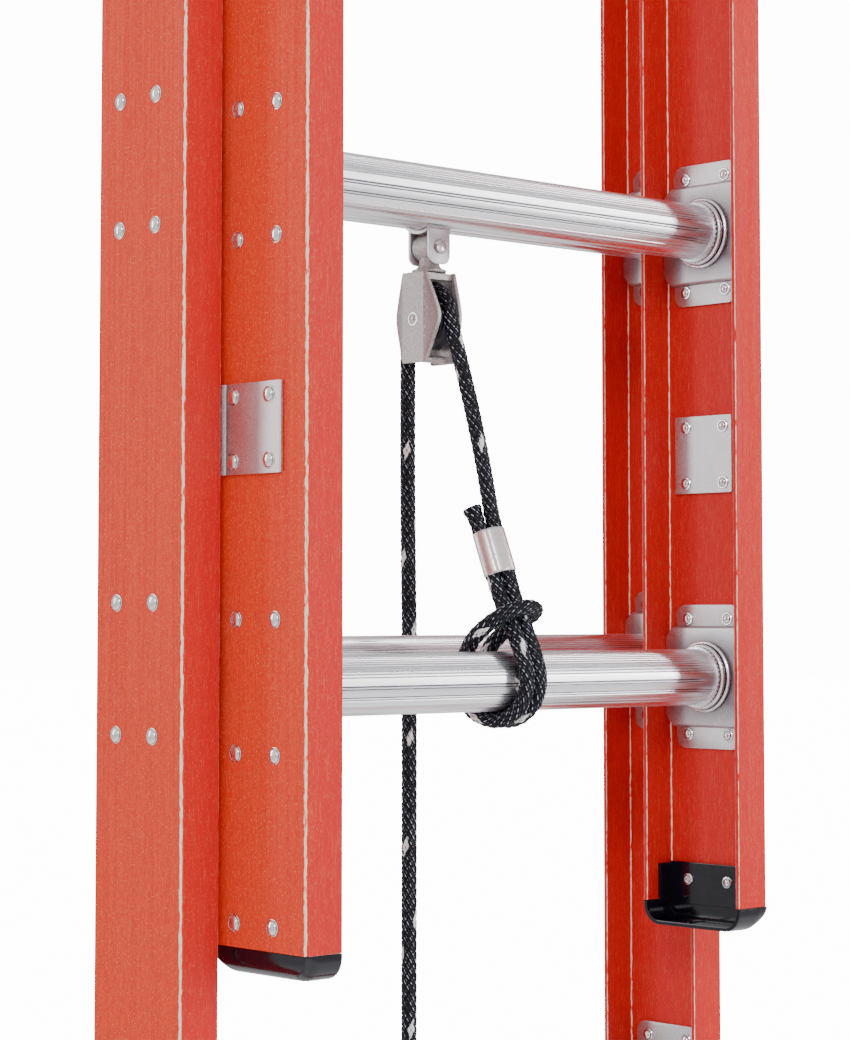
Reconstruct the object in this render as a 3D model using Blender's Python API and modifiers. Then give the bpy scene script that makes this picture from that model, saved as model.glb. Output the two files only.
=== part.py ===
"""Two-section fibreglass extension ladder with a rope and pulley.

Metres, +Z up, X across the ladder, -Y the climber's side. The origin is under the middle of the
feet. Heights count from the ground, depths from the front face of the upper (fly) section.
"""

import math

import bmesh
import bpy
from mathutils import Matrix, Vector

MM = 0.001
GAP = 0.3 * MM

# Rails: C-channels that open towards the middle of the ladder.
RAIL_LENGTH = 2438.4 * MM
RAIL_DEPTH = 86.4 * MM
FLANGE = 28.3 * MM
WALL = 3.5 * MM
CORNER = 2.6 * MM
FLY_HALF = 201.3 * MM
BASE_HALF = 236.0 * MM

# Rungs.
RUNGS = 8
PITCH = 304.8 * MM
RAIL_END = 152.4 * MM
RUNG_RADIUS = 19.0 * MM
RUNG_BORE = 17.2 * MM
RUNG_SIDES = 10
BEAD_RADIUS = 24.5 * MM
RUNG_SETBACK = 46.4 * MM
PLATE_TAB = 2.2 * MM
PLATE_PAD = 5.5 * MM

# The two sections in the shared frame.
FLY_FRONT = -82.4 * MM
BASE_FRONT = FLY_FRONT + 71.6 * MM
FLY_RUNG_Y = FLY_FRONT + RUNG_SETBACK
BASE_RUNG_Y = BASE_FRONT + RUNG_SETBACK
BASE_BOTTOM = 37.5 * MM
BASE_TOP = BASE_BOTTOM + RAIL_LENGTH
BASE_FIRST = BASE_BOTTOM + RAIL_END
FLY_FIRST = BASE_FIRST + 5 * PITCH - 9.9 * MM
FLY_BOTTOM = FLY_FIRST - RAIL_END
FLY_TOP = FLY_BOTTOM + RAIL_LENGTH

# Pulley, which hangs from the base section's seventh rung.
PULLEY_X = 2.5 * MM
PULLEY_RUNG_Z = BASE_FIRST + 6 * PITCH
PIN_Z = FLY_FIRST + 284.6 * MM
BLOCK_TOP = FLY_FIRST + 267.6 * MM
BLOCK_BOTTOM = FLY_FIRST + 207.6 * MM
SHEAVE_Z = FLY_FIRST + 236.4 * MM
ROPE_WRAP = 20.8 * MM
WRAP_DROP = 20.0 * MM
CHEEK_HALF = 14.5 * MM
CHEEK_WALL = 3.0 * MM
CHEEK_BEND = 3.6 * MM
STRAP_HALF = 9.3 * MM
STRAP_WALL = 2.0 * MM
STRAP_LEG = 10.3 * MM
PIN_RADIUS = 3.0 * MM
EYE_HALF = 7.6 * MM
STRAP_EAR = 42.0
STEM = 4.0 * MM
STEM_HEAD = 6.8 * MM
AXLE = 3.5 * MM
AXLE_HOLE = 3.9 * MM

ROPE_RADIUS = 4.5 * MM

# Rung locks, on the fly section's third rung.
LOCK_Z = FLY_FIRST + 2 * PITCH
LOCK_PIVOT_Y = FLY_FRONT + 84.0 * MM
LOCK_PIVOT_Z = LOCK_Z + 100.0 * MM
LOCK_REACH = 76.7 * MM
LOCK_PLATE = 162.0 * MM
PAWL_LOW = 149.5 * MM
PAWL_HIGH = 157.5 * MM
LOCK_PIN = 3.5 * MM
LOCK_HOLE = 4.0 * MM

# Feet.
FOOT_X = 232.5 * MM
FOOT_PIVOT_Y = BASE_FRONT + 0.5 * RAIL_DEPTH
FOOT_PIVOT_Z = BASE_BOTTOM + 25.0 * MM
PAD_TOP = 7.5 * MM
BOLT = 5.0 * MM
BOLT_HOLE = 5.5 * MM

# Guides, end caps and the places (y, z) of their rivets.
SHANK = 3.0 * MM
RIVET_HOLE = 3.4 * MM
BACKING = 2.4 * MM
CAP_REACH = 25.4 * MM
GUIDE_LOW = FLY_FIRST + 125.0 * MM
GUIDE_HIGH = FLY_FIRST + 179.0 * MM
GUIDE_RIVETS = [
    (FLY_FRONT + y * MM, FLY_FIRST + z * MM) for y in (31.2, 65.0) for z in (132.7, 171.3)
]
BOTTOM_CAP_RIVETS = [(FLY_FRONT + y * MM, FLY_BOTTOM + 13.9 * MM) for y in (29.6, 65.0)]
FLY_CAP_RIVETS = [(FLY_FRONT + y * MM, FLY_TOP - 14.0 * MM) for y in (29.6, 65.0)]
BASE_CAP_RIVETS = [(BASE_FRONT + y * MM, BASE_TOP - 12.0 * MM) for y in (26.0, 60.0)]
LOCK_RIVETS = [
    (FLY_FRONT + y * MM, LOCK_Z + z * MM) for y, z in ((30.0, 66.0), (30.0, 118.0), (52.0, 118.0))
]
TOP_GUIDE_LOW = BASE_FIRST + 7 * PITCH + 75.0 * MM
TOP_GUIDE_HIGH = TOP_GUIDE_LOW + 40.0 * MM
TOP_GUIDE_RIVETS = [
    (BASE_FRONT + 42.0 * MM, TOP_GUIDE_LOW + 10.0 * MM),
    (BASE_FRONT + 42.0 * MM, TOP_GUIDE_HIGH - 10.0 * MM),
]

# Free end of the rope on the ground.
COIL_X = -100.0 * MM
COIL_RADIUS = 49.5 * MM
COIL_HALF = 9.6 * MM
COIL_HEIGHT = 28.0 * MM
HAUL_Y = FLY_FRONT + 142.6 * MM

# The rope's eye on the fly's lowest rung, in millimetres from that rung's front: x, y, z.
FERRULE_LOW = (4.0, 52.0, 68.0)
FERRULE_HIGH = (4.0, 63.5, 96.0)
STRAND_SIDE = (3.7, -3.4, 0.0)

EYE_ROUTE = [
    (-0.5, 47, 52), (-1.5, 37, 36), (-1.8, 27.5, 19), (-1.5, 22.4, 3),
    (-2.5, 25.3, -12), (-5, 35.5, -22), (-8, 48, -24.3), (-11, 62.5, -18.6), (-12.5, 70, -5),
    (-13.5, 70, 7), (-15, 63.5, 18.5), (-17.5, 54, 27.5), (-17.5, 44, 34.5), (-13, 35.5, 41),
    (-4, 30.5, 45.5), (7, 29.5, 47), (17, 33.5, 45.5), (21, 41, 42), (17.5, 49.5, 37),
    (11, 56.5, 31), (6.5, 63.5, 22), (4.5, 69, 10), (3.5, 70.8, -3), (3.2, 65, -16),
    (3.5, 52, -24), (5, 37.5, -23), (7.5, 26.1, -13.7), (9, 22.2, 0), (9.2, 25, 13),
    (8.8, 34, 33), (8, 43, 52),
]
TAIL_ROUTE = [(-1.2, 70.2, 105), (-3.2, 73.6, 114)]
LIFT_ROUTE = [(7.4, 64, 108), (6.6, 70.5, 138), (5.4, 79.8, 175), (3.6, 90.3, 212), (2.6, 96.6, 234.6)]

ORANGE = ((0.72, 0.11, 0.05), 0.42, 0.0)
ALUMINIUM = ((0.80, 0.80, 0.82), 0.32, 1.0)
STEEL = ((0.62, 0.60, 0.60), 0.45, 1.0)
BLACK = ((0.012, 0.011, 0.016), 0.25, 0.0)
RUBBER = ((0.02, 0.02, 0.02), 0.8, 0.0)
BRAID = ((0.015, 0.015, 0.022), 0.75, 0.0)


# ---------------------------------------------------------------- shapes

def clear_scene():
    for obj in list(bpy.data.objects):
        bpy.data.objects.remove(obj)


def new_collection(name):
    collection = bpy.data.collections.new(name)
    bpy.context.scene.collection.children.link(collection)
    return collection


def shape_of(mesh):
    """A working object, in the work collection until it is placed as a part."""
    obj = bpy.data.objects.new("work", mesh)
    WORK.objects.link(obj)
    return obj


def weld(mesh):
    cage = bmesh.new()
    cage.from_mesh(mesh)
    bmesh.ops.remove_doubles(cage, verts=cage.verts, dist=2e-6)
    bmesh.ops.recalc_face_normals(cage, faces=cage.faces)
    cage.to_mesh(mesh)
    cage.free()


def settle(obj, loose=True):
    """The object's evaluated shape as a plain mesh in world space, its loose caps welded."""
    bpy.context.view_layer.update()
    graph = bpy.context.evaluated_depsgraph_get()
    mesh = bpy.data.meshes.new_from_object(obj.evaluated_get(graph), depsgraph=graph)
    mesh.transform(obj.matrix_world)
    bpy.data.objects.remove(obj)
    if loose:
        weld(mesh)
    return shape_of(mesh)


def box(low, high):
    low, high = Vector(low), Vector(high)
    cage = bmesh.new()
    bmesh.ops.create_cube(cage, size=1.0)
    mesh = bpy.data.meshes.new("box")
    cage.to_mesh(mesh)
    cage.free()
    size = Matrix.Diagonal(high - low).to_4x4()
    mesh.transform(Matrix.Translation((low + high) / 2) @ size)
    return shape_of(mesh)


def turned_axes(axis):
    """Local +Z laid along the world axis named."""
    turns = {"X": Matrix.Rotation(math.pi / 2, 4, "Y"), "Y": Matrix.Rotation(-math.pi / 2, 4, "X")}
    return turns.get(axis, Matrix.Identity(4))


def turned(profile, steps, centre, axis="Z"):
    """A profile of (radius, height) points spun about the axis through the centre."""
    mesh = bpy.data.meshes.new("profile")
    points = [(radius, 0.0, height) for radius, height in profile]
    edges = [(i, i + 1) for i in range(len(points) - 1)]
    mesh.from_pydata(points, edges, [])
    obj = shape_of(mesh)
    screw = obj.modifiers.new("Spin", "SCREW")
    screw.steps = screw.render_steps = steps
    screw.use_merge_vertices = True
    screw.merge_threshold = 0.00005
    obj.matrix_world = Matrix.Translation(centre) @ turned_axes(axis)
    return settle(obj)


def rod(radius, low, high, centre, axis, sides=6):
    return turned([(0, low), (radius, low), (radius, high), (0, high)], sides, centre, axis)


def outline_axes(axis):
    """Outlines across X are (y, z), across Y (x, z) and across Z (x, y)."""
    columns = {
        "X": ((0, 1, 0), (0, 0, 1), (1, 0, 0)),
        "Y": ((1, 0, 0), (0, 0, 1), (0, -1, 0)),
        "Z": ((1, 0, 0), (0, 1, 0), (0, 0, 1)),
    }[axis]
    return Matrix(columns).transposed().to_4x4()


def extruded(outlines, low, high, axis):
    """Flat outlines, the later ones holes in the first, given thickness along an axis."""
    curve = bpy.data.curves.new("outline", "CURVE")
    curve.dimensions = "2D"
    curve.fill_mode = "BOTH"
    curve.extrude = (high - low) / 2
    for points in outlines:
        spline = curve.splines.new("POLY")
        spline.points.add(len(points) - 1)
        for point, (u, v) in zip(spline.points, points):
            point.co = (u, v, 0, 1)
        spline.use_cyclic_u = True
    obj = shape_of(curve)
    along = Vector([(low + high) / 2 if name == axis else 0 for name in "XYZ"])
    obj.matrix_world = Matrix.Translation(along) @ outline_axes(axis)
    return settle(obj)


def tube(points, radius=ROPE_RADIUS):
    curve = bpy.data.curves.new("tube", "CURVE")
    curve.dimensions = "3D"
    curve.bevel_depth = radius
    curve.bevel_resolution = 2
    curve.use_fill_caps = True
    spline = curve.splines.new("POLY")
    spline.points.add(len(points) - 1)
    for point, place in zip(spline.points, points):
        point.co = (*place, 1)
    return settle(shape_of(curve))


def rounded(corners, steps=2):
    """Points of an outline whose (u, v, radius) corners are rounded by arcs."""
    points = []
    for i, (u, v, radius) in enumerate(corners):
        here = Vector((u, v))
        before = (Vector(corners[i - 1][:2]) - here).normalized()
        after = (Vector(corners[(i + 1) % len(corners)][:2]) - here).normalized()
        if radius == 0:
            points.append((u, v))
            continue
        half = before.angle(after) / 2
        middle = here + (before + after).normalized() * (radius / math.sin(half))
        start = here + before * (radius / math.tan(half)) - middle
        end = here + after * (radius / math.tan(half)) - middle
        turn = start.angle_signed(end)
        for step in range(steps + 1):
            arm = Matrix.Rotation(-turn * step / steps, 2) @ start
            points.append(tuple(middle + arm))
    return points


def circle(centre, radius, sides=6):
    angles = [2 * math.pi * (i + 0.5) / sides for i in range(sides)]
    return [(centre[0] + radius * math.cos(a), centre[1] + radius * math.sin(a)) for a in angles]


def arc(centre, radius, start, end, steps):
    """Points of an arc, its angles in degrees from +u towards +v."""
    angles = [math.radians(start + (end - start) * i / steps) for i in range(steps + 1)]
    return [(centre[0] + radius * math.cos(a), centre[1] + radius * math.sin(a)) for a in angles]


def rectangle(u_low, v_low, u_high, v_high, radius=0.0):
    corners = [(u_low, v_low), (u_high, v_low), (u_high, v_high), (u_low, v_high)]
    return rounded([(u, v, radius) for u, v in corners], 1)


def group(shapes):
    """Separate shapes held in one working mesh, to cut or join them all at once."""
    cage = bmesh.new()
    for shape in shapes:
        cage.from_mesh(shape.data)
        bpy.data.objects.remove(shape)
    mesh = bpy.data.meshes.new("group")
    cage.to_mesh(mesh)
    cage.free()
    return shape_of(mesh)


def combined(first, other, operation):
    cut = first.modifiers.new(operation.title(), "BOOLEAN")
    cut.operation = operation
    cut.solver = "EXACT"
    cut.object = other
    result = settle(first, loose=False)
    bpy.data.objects.remove(other)
    return result


def joined(first, *others):
    for other in others:
        first = combined(first, other, "UNION")
    return first


def without(first, *cutters):
    return combined(first, group(cutters), "DIFFERENCE")


def smooth_route(points, spacing):
    """Evenly spaced points on a Catmull-Rom curve through the route's own points."""
    points = [Vector(p) for p in points]
    padded = [2 * points[0] - points[1], *points, 2 * points[-1] - points[-2]]
    fine = []
    for a, b, c, d in zip(padded, padded[1:], padded[2:], padded[3:]):
        for i in range(24):
            t = i / 24
            curve = 2 * b + (c - a) * t + (2 * a - 5 * b + 4 * c - d) * t * t
            fine.append((curve + (3 * b - a - 3 * c + d) * t ** 3) / 2)
    fine.append(points[-1])
    travelled = [0.0]
    for a, b in zip(fine, fine[1:]):
        travelled.append(travelled[-1] + (b - a).length)
    count = max(2, round(travelled[-1] / spacing))
    route, at = [], 0
    for i in range(count + 1):
        wanted = travelled[-1] * i / count
        while at < len(fine) - 2 and travelled[at + 1] < wanted:
            at += 1
        share = (wanted - travelled[at]) / (travelled[at + 1] - travelled[at])
        route.append(fine[at].lerp(fine[at + 1], min(1.0, share)))
    return route


# ---------------------------------------------------------------- placing

def material_for(name, look):
    colour, roughness, metallic = look
    material = bpy.data.materials.new(name)
    material.use_nodes = True
    shader = material.node_tree.nodes["Principled BSDF"]
    shader.inputs["Base Color"].default_value = (*colour, 1)
    shader.inputs["Roughness"].default_value = roughness
    shader.inputs["Metallic"].default_value = metallic
    return material


def empty_at(name, place, parent=None):
    """A joint's empty: the pieces that move on the joint hang from it."""
    empty = bpy.data.objects.new(name, None)
    PARTS.objects.link(empty)
    empty.empty_display_size = 0.05
    empty.parent = parent
    empty.location = Vector(place) - (parent.matrix_world.translation if parent else Vector())
    bpy.context.view_layer.update()
    return empty


def placed(name, mesh, look, joint=None, at=(0, 0, 0)):
    """A named part whose mesh is given about the point at."""
    obj = bpy.data.objects.new(name, mesh)
    PARTS.objects.link(obj)
    obj.parent = joint
    obj.location = Vector(at) - (joint.matrix_world.translation if joint else Vector())
    if not mesh.materials:
        mesh.materials.append(material_for(name, look))
    mesh.shade_smooth()
    mesh.set_sharp_from_angle(angle=math.radians(35))
    return obj


def part(name, shape, look, joint=None):
    """Turns a working shape into a named part, its origin on its joint's empty."""
    mesh = shape.data
    bpy.data.objects.remove(shape)
    at = joint.matrix_world.translation.copy() if joint else Vector()
    mesh.transform(Matrix.Translation(-at))
    return placed(name, mesh, look, joint, at)


def pair(name, shape, look, joints=(None, None)):
    """The right-hand piece and its mirror image on the left; joints are (left, right)."""
    copy = shape.data.copy()
    copy.transform(Matrix.Scale(-1, 4, (1, 0, 0)))
    copy.flip_normals()
    part(name + "_left", shape_of(copy), look, joints[0])
    part(name + "_right", shape, look, joints[1])


# ---------------------------------------------------------------- fasteners

def rivet(inside, outside, y, z):
    """A solid rivet along X whose heads bear on the faces at the two X places."""
    profile = [
        (0, inside - 1.8 * MM),
        (3.2 * MM, inside - 1.8 * MM),
        (4.6 * MM, inside),
        (SHANK, inside),
        (SHANK, outside),
        (5.2 * MM, outside),
        (3.4 * MM, outside + 2.0 * MM),
        (0, outside + 2.0 * MM),
    ]
    return turned(profile, 6, (0, y, z), "X")


def rivet_hole(half, y, z):
    """A cutter for a rivet's hole in the web at this half width."""
    return rod(RIVET_HOLE, half - 3 * WALL, half + 2 * WALL, (0, y, z), "X")


# ---------------------------------------------------------------- rails and rungs

def channel(half, front, bottom):
    back = front + RAIL_DEPTH
    inner = half - WALL
    edge = half - FLANGE
    corners = [
        (edge, front, 0.8 * MM),
        (half, front, CORNER),
        (half, back, CORNER),
        (edge, back, 0.8 * MM),
        (edge, back - WALL, 0.8 * MM),
        (inner, back - WALL, 0.5 * MM),
        (inner, front + WALL, 0.5 * MM),
        (edge, front + WALL, 0.8 * MM),
    ]
    return extruded([rounded(corners, 1)], bottom, bottom + RAIL_LENGTH, "Z")


def make_rails(fly):
    fly_holes = GUIDE_RIVETS + BOTTOM_CAP_RIVETS + FLY_CAP_RIVETS + LOCK_RIVETS
    base_holes = TOP_GUIDE_RIVETS + BASE_CAP_RIVETS
    cutters = [rivet_hole(FLY_HALF, y, z) for y, z in fly_holes]
    pair("fly_rail", without(channel(FLY_HALF, FLY_FRONT, FLY_BOTTOM), *cutters), ORANGE, (fly, fly))
    cutters = [rivet_hole(BASE_HALF, y, z) for y, z in base_holes]
    place = (0, FOOT_PIVOT_Y, FOOT_PIVOT_Z)
    cutters.append(rod(BOLT_HOLE, BASE_HALF - 2 * WALL, BASE_HALF + WALL, place, "X", 8))
    pair("base_rail", without(channel(BASE_HALF, BASE_FRONT, BASE_BOTTOM), *cutters), ORANGE)


def rung_plate(web):
    """The plate swaged onto a rung's end: tabs on the web and a raised middle, about the rung's axis."""
    back = web - GAP
    tab = extruded(
        [rectangle(-28.6 * MM, -49 * MM, 28.6 * MM, 49 * MM, 7 * MM)], back - PLATE_TAB, back, "X"
    )
    front_edge = WALL + GAP - RUNG_SETBACK
    back_edge = RAIL_DEPTH - WALL - GAP - RUNG_SETBACK
    outline = rectangle(front_edge, -32.5 * MM, back_edge, 32.5 * MM, 5 * MM)
    return joined(tab, extruded([outline], back - PLATE_PAD, back - 0.9 * MM, "X"))


def rung_mesh(half):
    """A hollow rung with a bead at each end and its two end plates, about its own centre."""
    web = half - WALL
    face = web - GAP - PLATE_PAD
    profile = [
        (0, -face - 2 * MM),
        (BEAD_RADIUS - 3 * MM, -face - 2 * MM),
        (BEAD_RADIUS, -face + 2 * MM),
        (BEAD_RADIUS, -face + 6 * MM),
        (RUNG_RADIUS, -face + 9 * MM),
    ]
    profile += [(radius, -height) for radius, height in reversed(profile)]
    shape = turned(profile, RUNG_SIDES, (0, 0, 0), "X")
    right = rung_plate(web)
    left = right.data.copy()
    left.transform(Matrix.Scale(-1, 4, (1, 0, 0)))
    left.flip_normals()
    shape = joined(shape, right, shape_of(left))
    shape = without(shape, rod(RUNG_BORE, -half, half, (0, 0, 0), "X", RUNG_SIDES))
    mesh = shape.data
    bpy.data.objects.remove(shape)
    return mesh


def make_rungs(fly):
    fly_mesh, base_mesh = rung_mesh(FLY_HALF), rung_mesh(BASE_HALF)
    for i in range(RUNGS):
        rise = i * PITCH
        name = f"rung_{i + 1}"
        placed("base_" + name, base_mesh, ALUMINIUM, None, (0, BASE_RUNG_Y, BASE_FIRST + rise))
        placed("fly_" + name, fly_mesh, ALUMINIUM, fly, (0, FLY_RUNG_Y, FLY_FIRST + rise))


# ---------------------------------------------------------------- guides and caps

def make_fly_guides(fly):
    """Brackets on the fly's outer faces whose lips run behind the base's front flanges."""
    back = FLY_HALF + GAP
    face = back + 2.4 * MM
    rise = [FLY_FRONT + y * MM for y in (20.6, 70.4, 75.5, 78.0)]
    corners = [
        (back, rise[0], 0),
        (face, rise[0], 0.8 * MM),
        (face, rise[1] + 0.8 * MM, 1.2 * MM),
        (face + 2.4 * MM, rise[2], 1.2 * MM),
        (222 * MM, rise[2], 0.6 * MM),
        (222 * MM, rise[3], 0.6 * MM),
        (face, rise[3], 1.5 * MM),
        (back, rise[1] + 1.6 * MM, 1.5 * MM),
    ]
    bracket = extruded([rounded(corners, 1)], GUIDE_LOW, GUIDE_HIGH, "Z")
    inside = FLY_HALF - WALL - GAP - BACKING - GAP
    rivets = [rivet(inside, face - 0.2 * MM, y, z) for y, z in GUIDE_RIVETS]
    pair("fly_guide", joined(bracket, group(rivets)), ALUMINIUM, (fly, fly))


def make_backing_plates(fly):
    back = FLY_HALF - WALL - GAP
    edges = rectangle(
        FLY_FRONT + 23.5 * MM,
        FLY_FIRST + 125.6 * MM,
        FLY_FRONT + 75.2 * MM,
        FLY_FIRST + 179.0 * MM,
        1.5 * MM,
    )
    holes = [circle(place, RIVET_HOLE) for place in GUIDE_RIVETS]
    plate = extruded([edges, *holes], back - BACKING, back, "X")
    pair("backing_plate", plate, ALUMINIUM, (fly, fly))


def cap_tray(half, front, height, sign):
    """A cap over a rail's end at height 0: a rounded tray, open towards the ladder's middle."""
    back = front + RAIL_DEPTH
    near, far = sign * GAP, sign * height
    radius = 0.85 * height
    shell = 3.0 * MM
    corners = [(front, near, 0), (front, far, radius), (back, far, radius), (back, near, 0)]
    tray = extruded([rounded(corners, 4)], half - FLANGE, half, "X")
    inner = [
        (front + shell, near - sign * shell, 0),
        (front + shell, far - sign * shell, radius - shell),
        (back - shell, far - sign * shell, radius - shell),
        (back - shell, near - sign * shell, 0),
    ]
    web_side = half - WALL - GAP - 1.5 * MM
    hollow = extruded([rounded(inner, 4)], half - FLANGE - shell, web_side, "X")
    return without(tray, hollow)


def cap_liner(half, front, reach, sign):
    """The part of a cap that goes inside the channel, against the web and the back flange."""
    face = half - WALL - GAP
    low, high = sorted((sign * 3 * MM, -sign * reach))
    back = front + RAIL_DEPTH - WALL - GAP
    web_side = box((face - 2.6 * MM, front + WALL + GAP, low), (face, back - MM, high))
    turn_in = box((face - 14 * MM, back - 2.4 * MM, low + MM), (face - MM, back, high - MM))
    return joined(web_side, turn_in)


def end_cap(half, front, level, height, sign, rivets):
    """A cap with its rivets on the rail's end at this level; sign says which way the rail ends."""
    tray = cap_tray(half, front, height, sign)
    liner = cap_liner(half, front, CAP_REACH, sign)
    heads = [rivet(half - WALL - GAP - 2.4 * MM, half + GAP, y, z - level) for y, z in rivets]
    cap = joined(tray, liner, group(heads))
    cap.data.transform(Matrix.Translation((0, 0, level)))
    return cap


def make_caps(fly):
    bottom = end_cap(FLY_HALF, FLY_FRONT, FLY_BOTTOM, 16.1 * MM, -1, BOTTOM_CAP_RIVETS)
    pair("fly_bottom_cap", bottom, BLACK, (fly, fly))
    top = end_cap(FLY_HALF, FLY_FRONT, FLY_TOP, 17.0 * MM, 1, FLY_CAP_RIVETS)
    pair("fly_top_cap", top, BLACK, (fly, fly))
    base = end_cap(BASE_HALF, BASE_FRONT, BASE_TOP, 10.0 * MM, 1, BASE_CAP_RIVETS)
    pair("base_top_cap", base, BLACK)


def make_top_guides():
    """Hooks at the top of the base rails that hold the fly's back flanges."""
    web = BASE_HALF - WALL - GAP
    flange_edge = FLY_HALF - FLANGE
    arm = [FLY_FRONT + y * MM for y in (76.0, 79.0, 87.4, 90.4)]
    far = BASE_FRONT + 54.0 * MM
    corners = [
        (web, arm[2], 1.0 * MM),
        (web, far, 0.8 * MM),
        (web - 2.6 * MM, far, 0.8 * MM),
        (web - 2.6 * MM, arm[3], 1.5 * MM),
        (flange_edge - 3.4 * MM, arm[3], 1.5 * MM),
        (flange_edge - 3.4 * MM, arm[0], 1.5 * MM),
        (flange_edge + 11 * MM, arm[0], 1.0 * MM),
        (flange_edge + 11 * MM, arm[1], 1.0 * MM),
        (flange_edge - 0.7 * MM, arm[1], 0.5 * MM),
        (flange_edge - 0.7 * MM, arm[2], 0.5 * MM),
    ]
    hook = extruded([rounded(corners, 1)], TOP_GUIDE_LOW, TOP_GUIDE_HIGH, "Z")
    rivets = [rivet(web - 2.4 * MM, BASE_HALF + GAP, y, z) for y, z in TOP_GUIDE_RIVETS]
    pair("top_guide", joined(hook, group(rivets)), ALUMINIUM)


# ---------------------------------------------------------------- rung locks

def make_lock_brackets(fly):
    web = FLY_HALF - WALL - GAP
    y = [FLY_FRONT + value * MM for value in (22.0, 60.0, 30.0, 56.0)]
    z = [LOCK_Z + value * MM for value in (57.0, 127.0, 92.0, 108.0)]
    plate = extruded([rectangle(y[0], z[0], y[1], z[1], 3 * MM)], web - 2.6 * MM, web, "X")
    arm = box((LOCK_PLATE + 2 * MM, y[2], z[2]), (web - 1 * MM, y[3], z[3]))
    pivot = (LOCK_PIVOT_Y, LOCK_PIVOT_Z)
    rear = y[2] - 1.5 * MM
    ear = [(rear, z[2] - 2 * MM), *arc(pivot, 10 * MM, -90, 90, 5), (rear, z[3] + 2 * MM)]
    ear = extruded([ear, circle(pivot, LOCK_HOLE, 8)], LOCK_PLATE, LOCK_PLATE + 4 * MM, "X")
    rivets = [rivet(web - 2.4 * MM, FLY_HALF + GAP, *place) for place in LOCK_RIVETS]
    pair("lock_bracket", joined(plate, arm, ear, group(rivets)), ALUMINIUM, (fly, fly))


def pawl_outline():
    """The pawl's side view: it hangs from its pivot and its foot rests on the base rung."""
    pivot = (LOCK_PIVOT_Y, LOCK_PIVOT_Z)
    foot = arc(pivot, LOCK_REACH, -58, -82, 6)
    lip = arc(pivot, 85.5 * MM, -82, -87, 1)
    side = [(94, 62), (104, 53), (122, 48)]
    heel = [(80, 32), (75, 60)]
    down = [(FLY_FRONT + y * MM, LOCK_Z + z * MM) for y, z in side]
    back = [(FLY_FRONT + y * MM, LOCK_Z + z * MM) for y, z in heel]
    return [*arc(pivot, 10 * MM, 180, 0, 6), *down, *foot, *lip, *back]


def spring_route():
    """Two turns of wire round the pivot, with a leg on the pawl and one on the bracket."""
    radius, rise = 6.2 * MM, 2.6 * MM
    first = PAWL_HIGH + 0.95 * MM
    route = [(first, -radius, -16 * MM)]
    for i in range(21):
        turn = 2 * math.pi * i / 10
        route.append((first + rise * i / 20, -radius * math.cos(turn), radius * math.sin(turn)))
    route.append((first + rise, -radius, -14 * MM))
    return [(x, LOCK_PIVOT_Y + y, LOCK_PIVOT_Z + z) for x, y, z in route]


def make_locks(fly, locks):
    pivot = (LOCK_PIVOT_Y, LOCK_PIVOT_Z)
    make_lock_brackets(fly)
    hole = circle(pivot, LOCK_HOLE, 8)
    pair("lock_pawl", extruded([pawl_outline(), hole], PAWL_LOW, PAWL_HIGH, "X"), ALUMINIUM, locks)
    profile = [
        (0, PAWL_LOW - 2.3 * MM),
        (5.5 * MM, PAWL_LOW - 2.3 * MM),
        (5.5 * MM, PAWL_LOW - GAP),
        (LOCK_PIN, PAWL_LOW - GAP),
        (LOCK_PIN, LOCK_PLATE + 4 * MM + GAP),
        (5.0 * MM, LOCK_PLATE + 4 * MM + GAP),
        (5.0 * MM, LOCK_PLATE + 5.7 * MM),
        (0, LOCK_PLATE + 5.7 * MM),
    ]
    pair("lock_pin", turned(profile, 8, (0, *pivot), "X"), STEEL, (fly, fly))
    pair("lock_spring", tube(spring_route(), 0.55 * MM), STEEL, (fly, fly))


# ---------------------------------------------------------------- feet

def cheek_outline():
    """A foot's cheek: a strap about the bolt that flares out below the rail."""
    y, z = FOOT_PIVOT_Y, FOOT_PIVOT_Z
    sole = PAD_TOP + 1.5 * MM
    right = [(y + 15 * MM, z - 46 * MM), (y + 40 * MM, z - 51 * MM), (y + 40 * MM, sole)]
    left = [(2 * y - u, v) for u, v in reversed(right)]
    return [*arc((y, z), 15 * MM, 180, 0, 6), *right, *left]


def make_feet(feet):
    y, z = FOOT_PIVOT_Y, FOOT_PIVOT_Z
    outline = [cheek_outline(), circle((y, z), BOLT_HOLE, 8)]
    outer = extruded(outline, 237 * MM, 240 * MM, "X")
    inner = extruded(outline, 224.5 * MM, 227.5 * MM, "X")
    sole = rectangle(207 * MM, y - 48 * MM, 242 * MM, y + 48 * MM, 4 * MM)
    sole = extruded([sole], PAD_TOP + GAP, PAD_TOP + 4 * MM, "Z")
    pair("foot", joined(sole, outer, inner), STEEL, feet)
    pad = rectangle(205 * MM, y - 50 * MM, 244 * MM, y + 50 * MM, 4 * MM)
    pair("foot_pad", extruded([pad], 0, PAD_TOP, "Z"), RUBBER, feet)
    profile = [
        (0, 218 * MM),
        (BOLT, 218 * MM),
        (BOLT, 219.5 * MM),
        (9 * MM, 219.5 * MM),
        (9 * MM, 224.5 * MM - GAP),
        (BOLT, 224.5 * MM - GAP),
        (BOLT, 240 * MM + GAP),
        (9 * MM, 240 * MM + GAP),
        (9 * MM, 243.7 * MM),
        (0, 243.7 * MM),
    ]
    pair("foot_bolt", turned(profile, 6, (0, y, z), "X"), STEEL)


# ---------------------------------------------------------------- pulley

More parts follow.
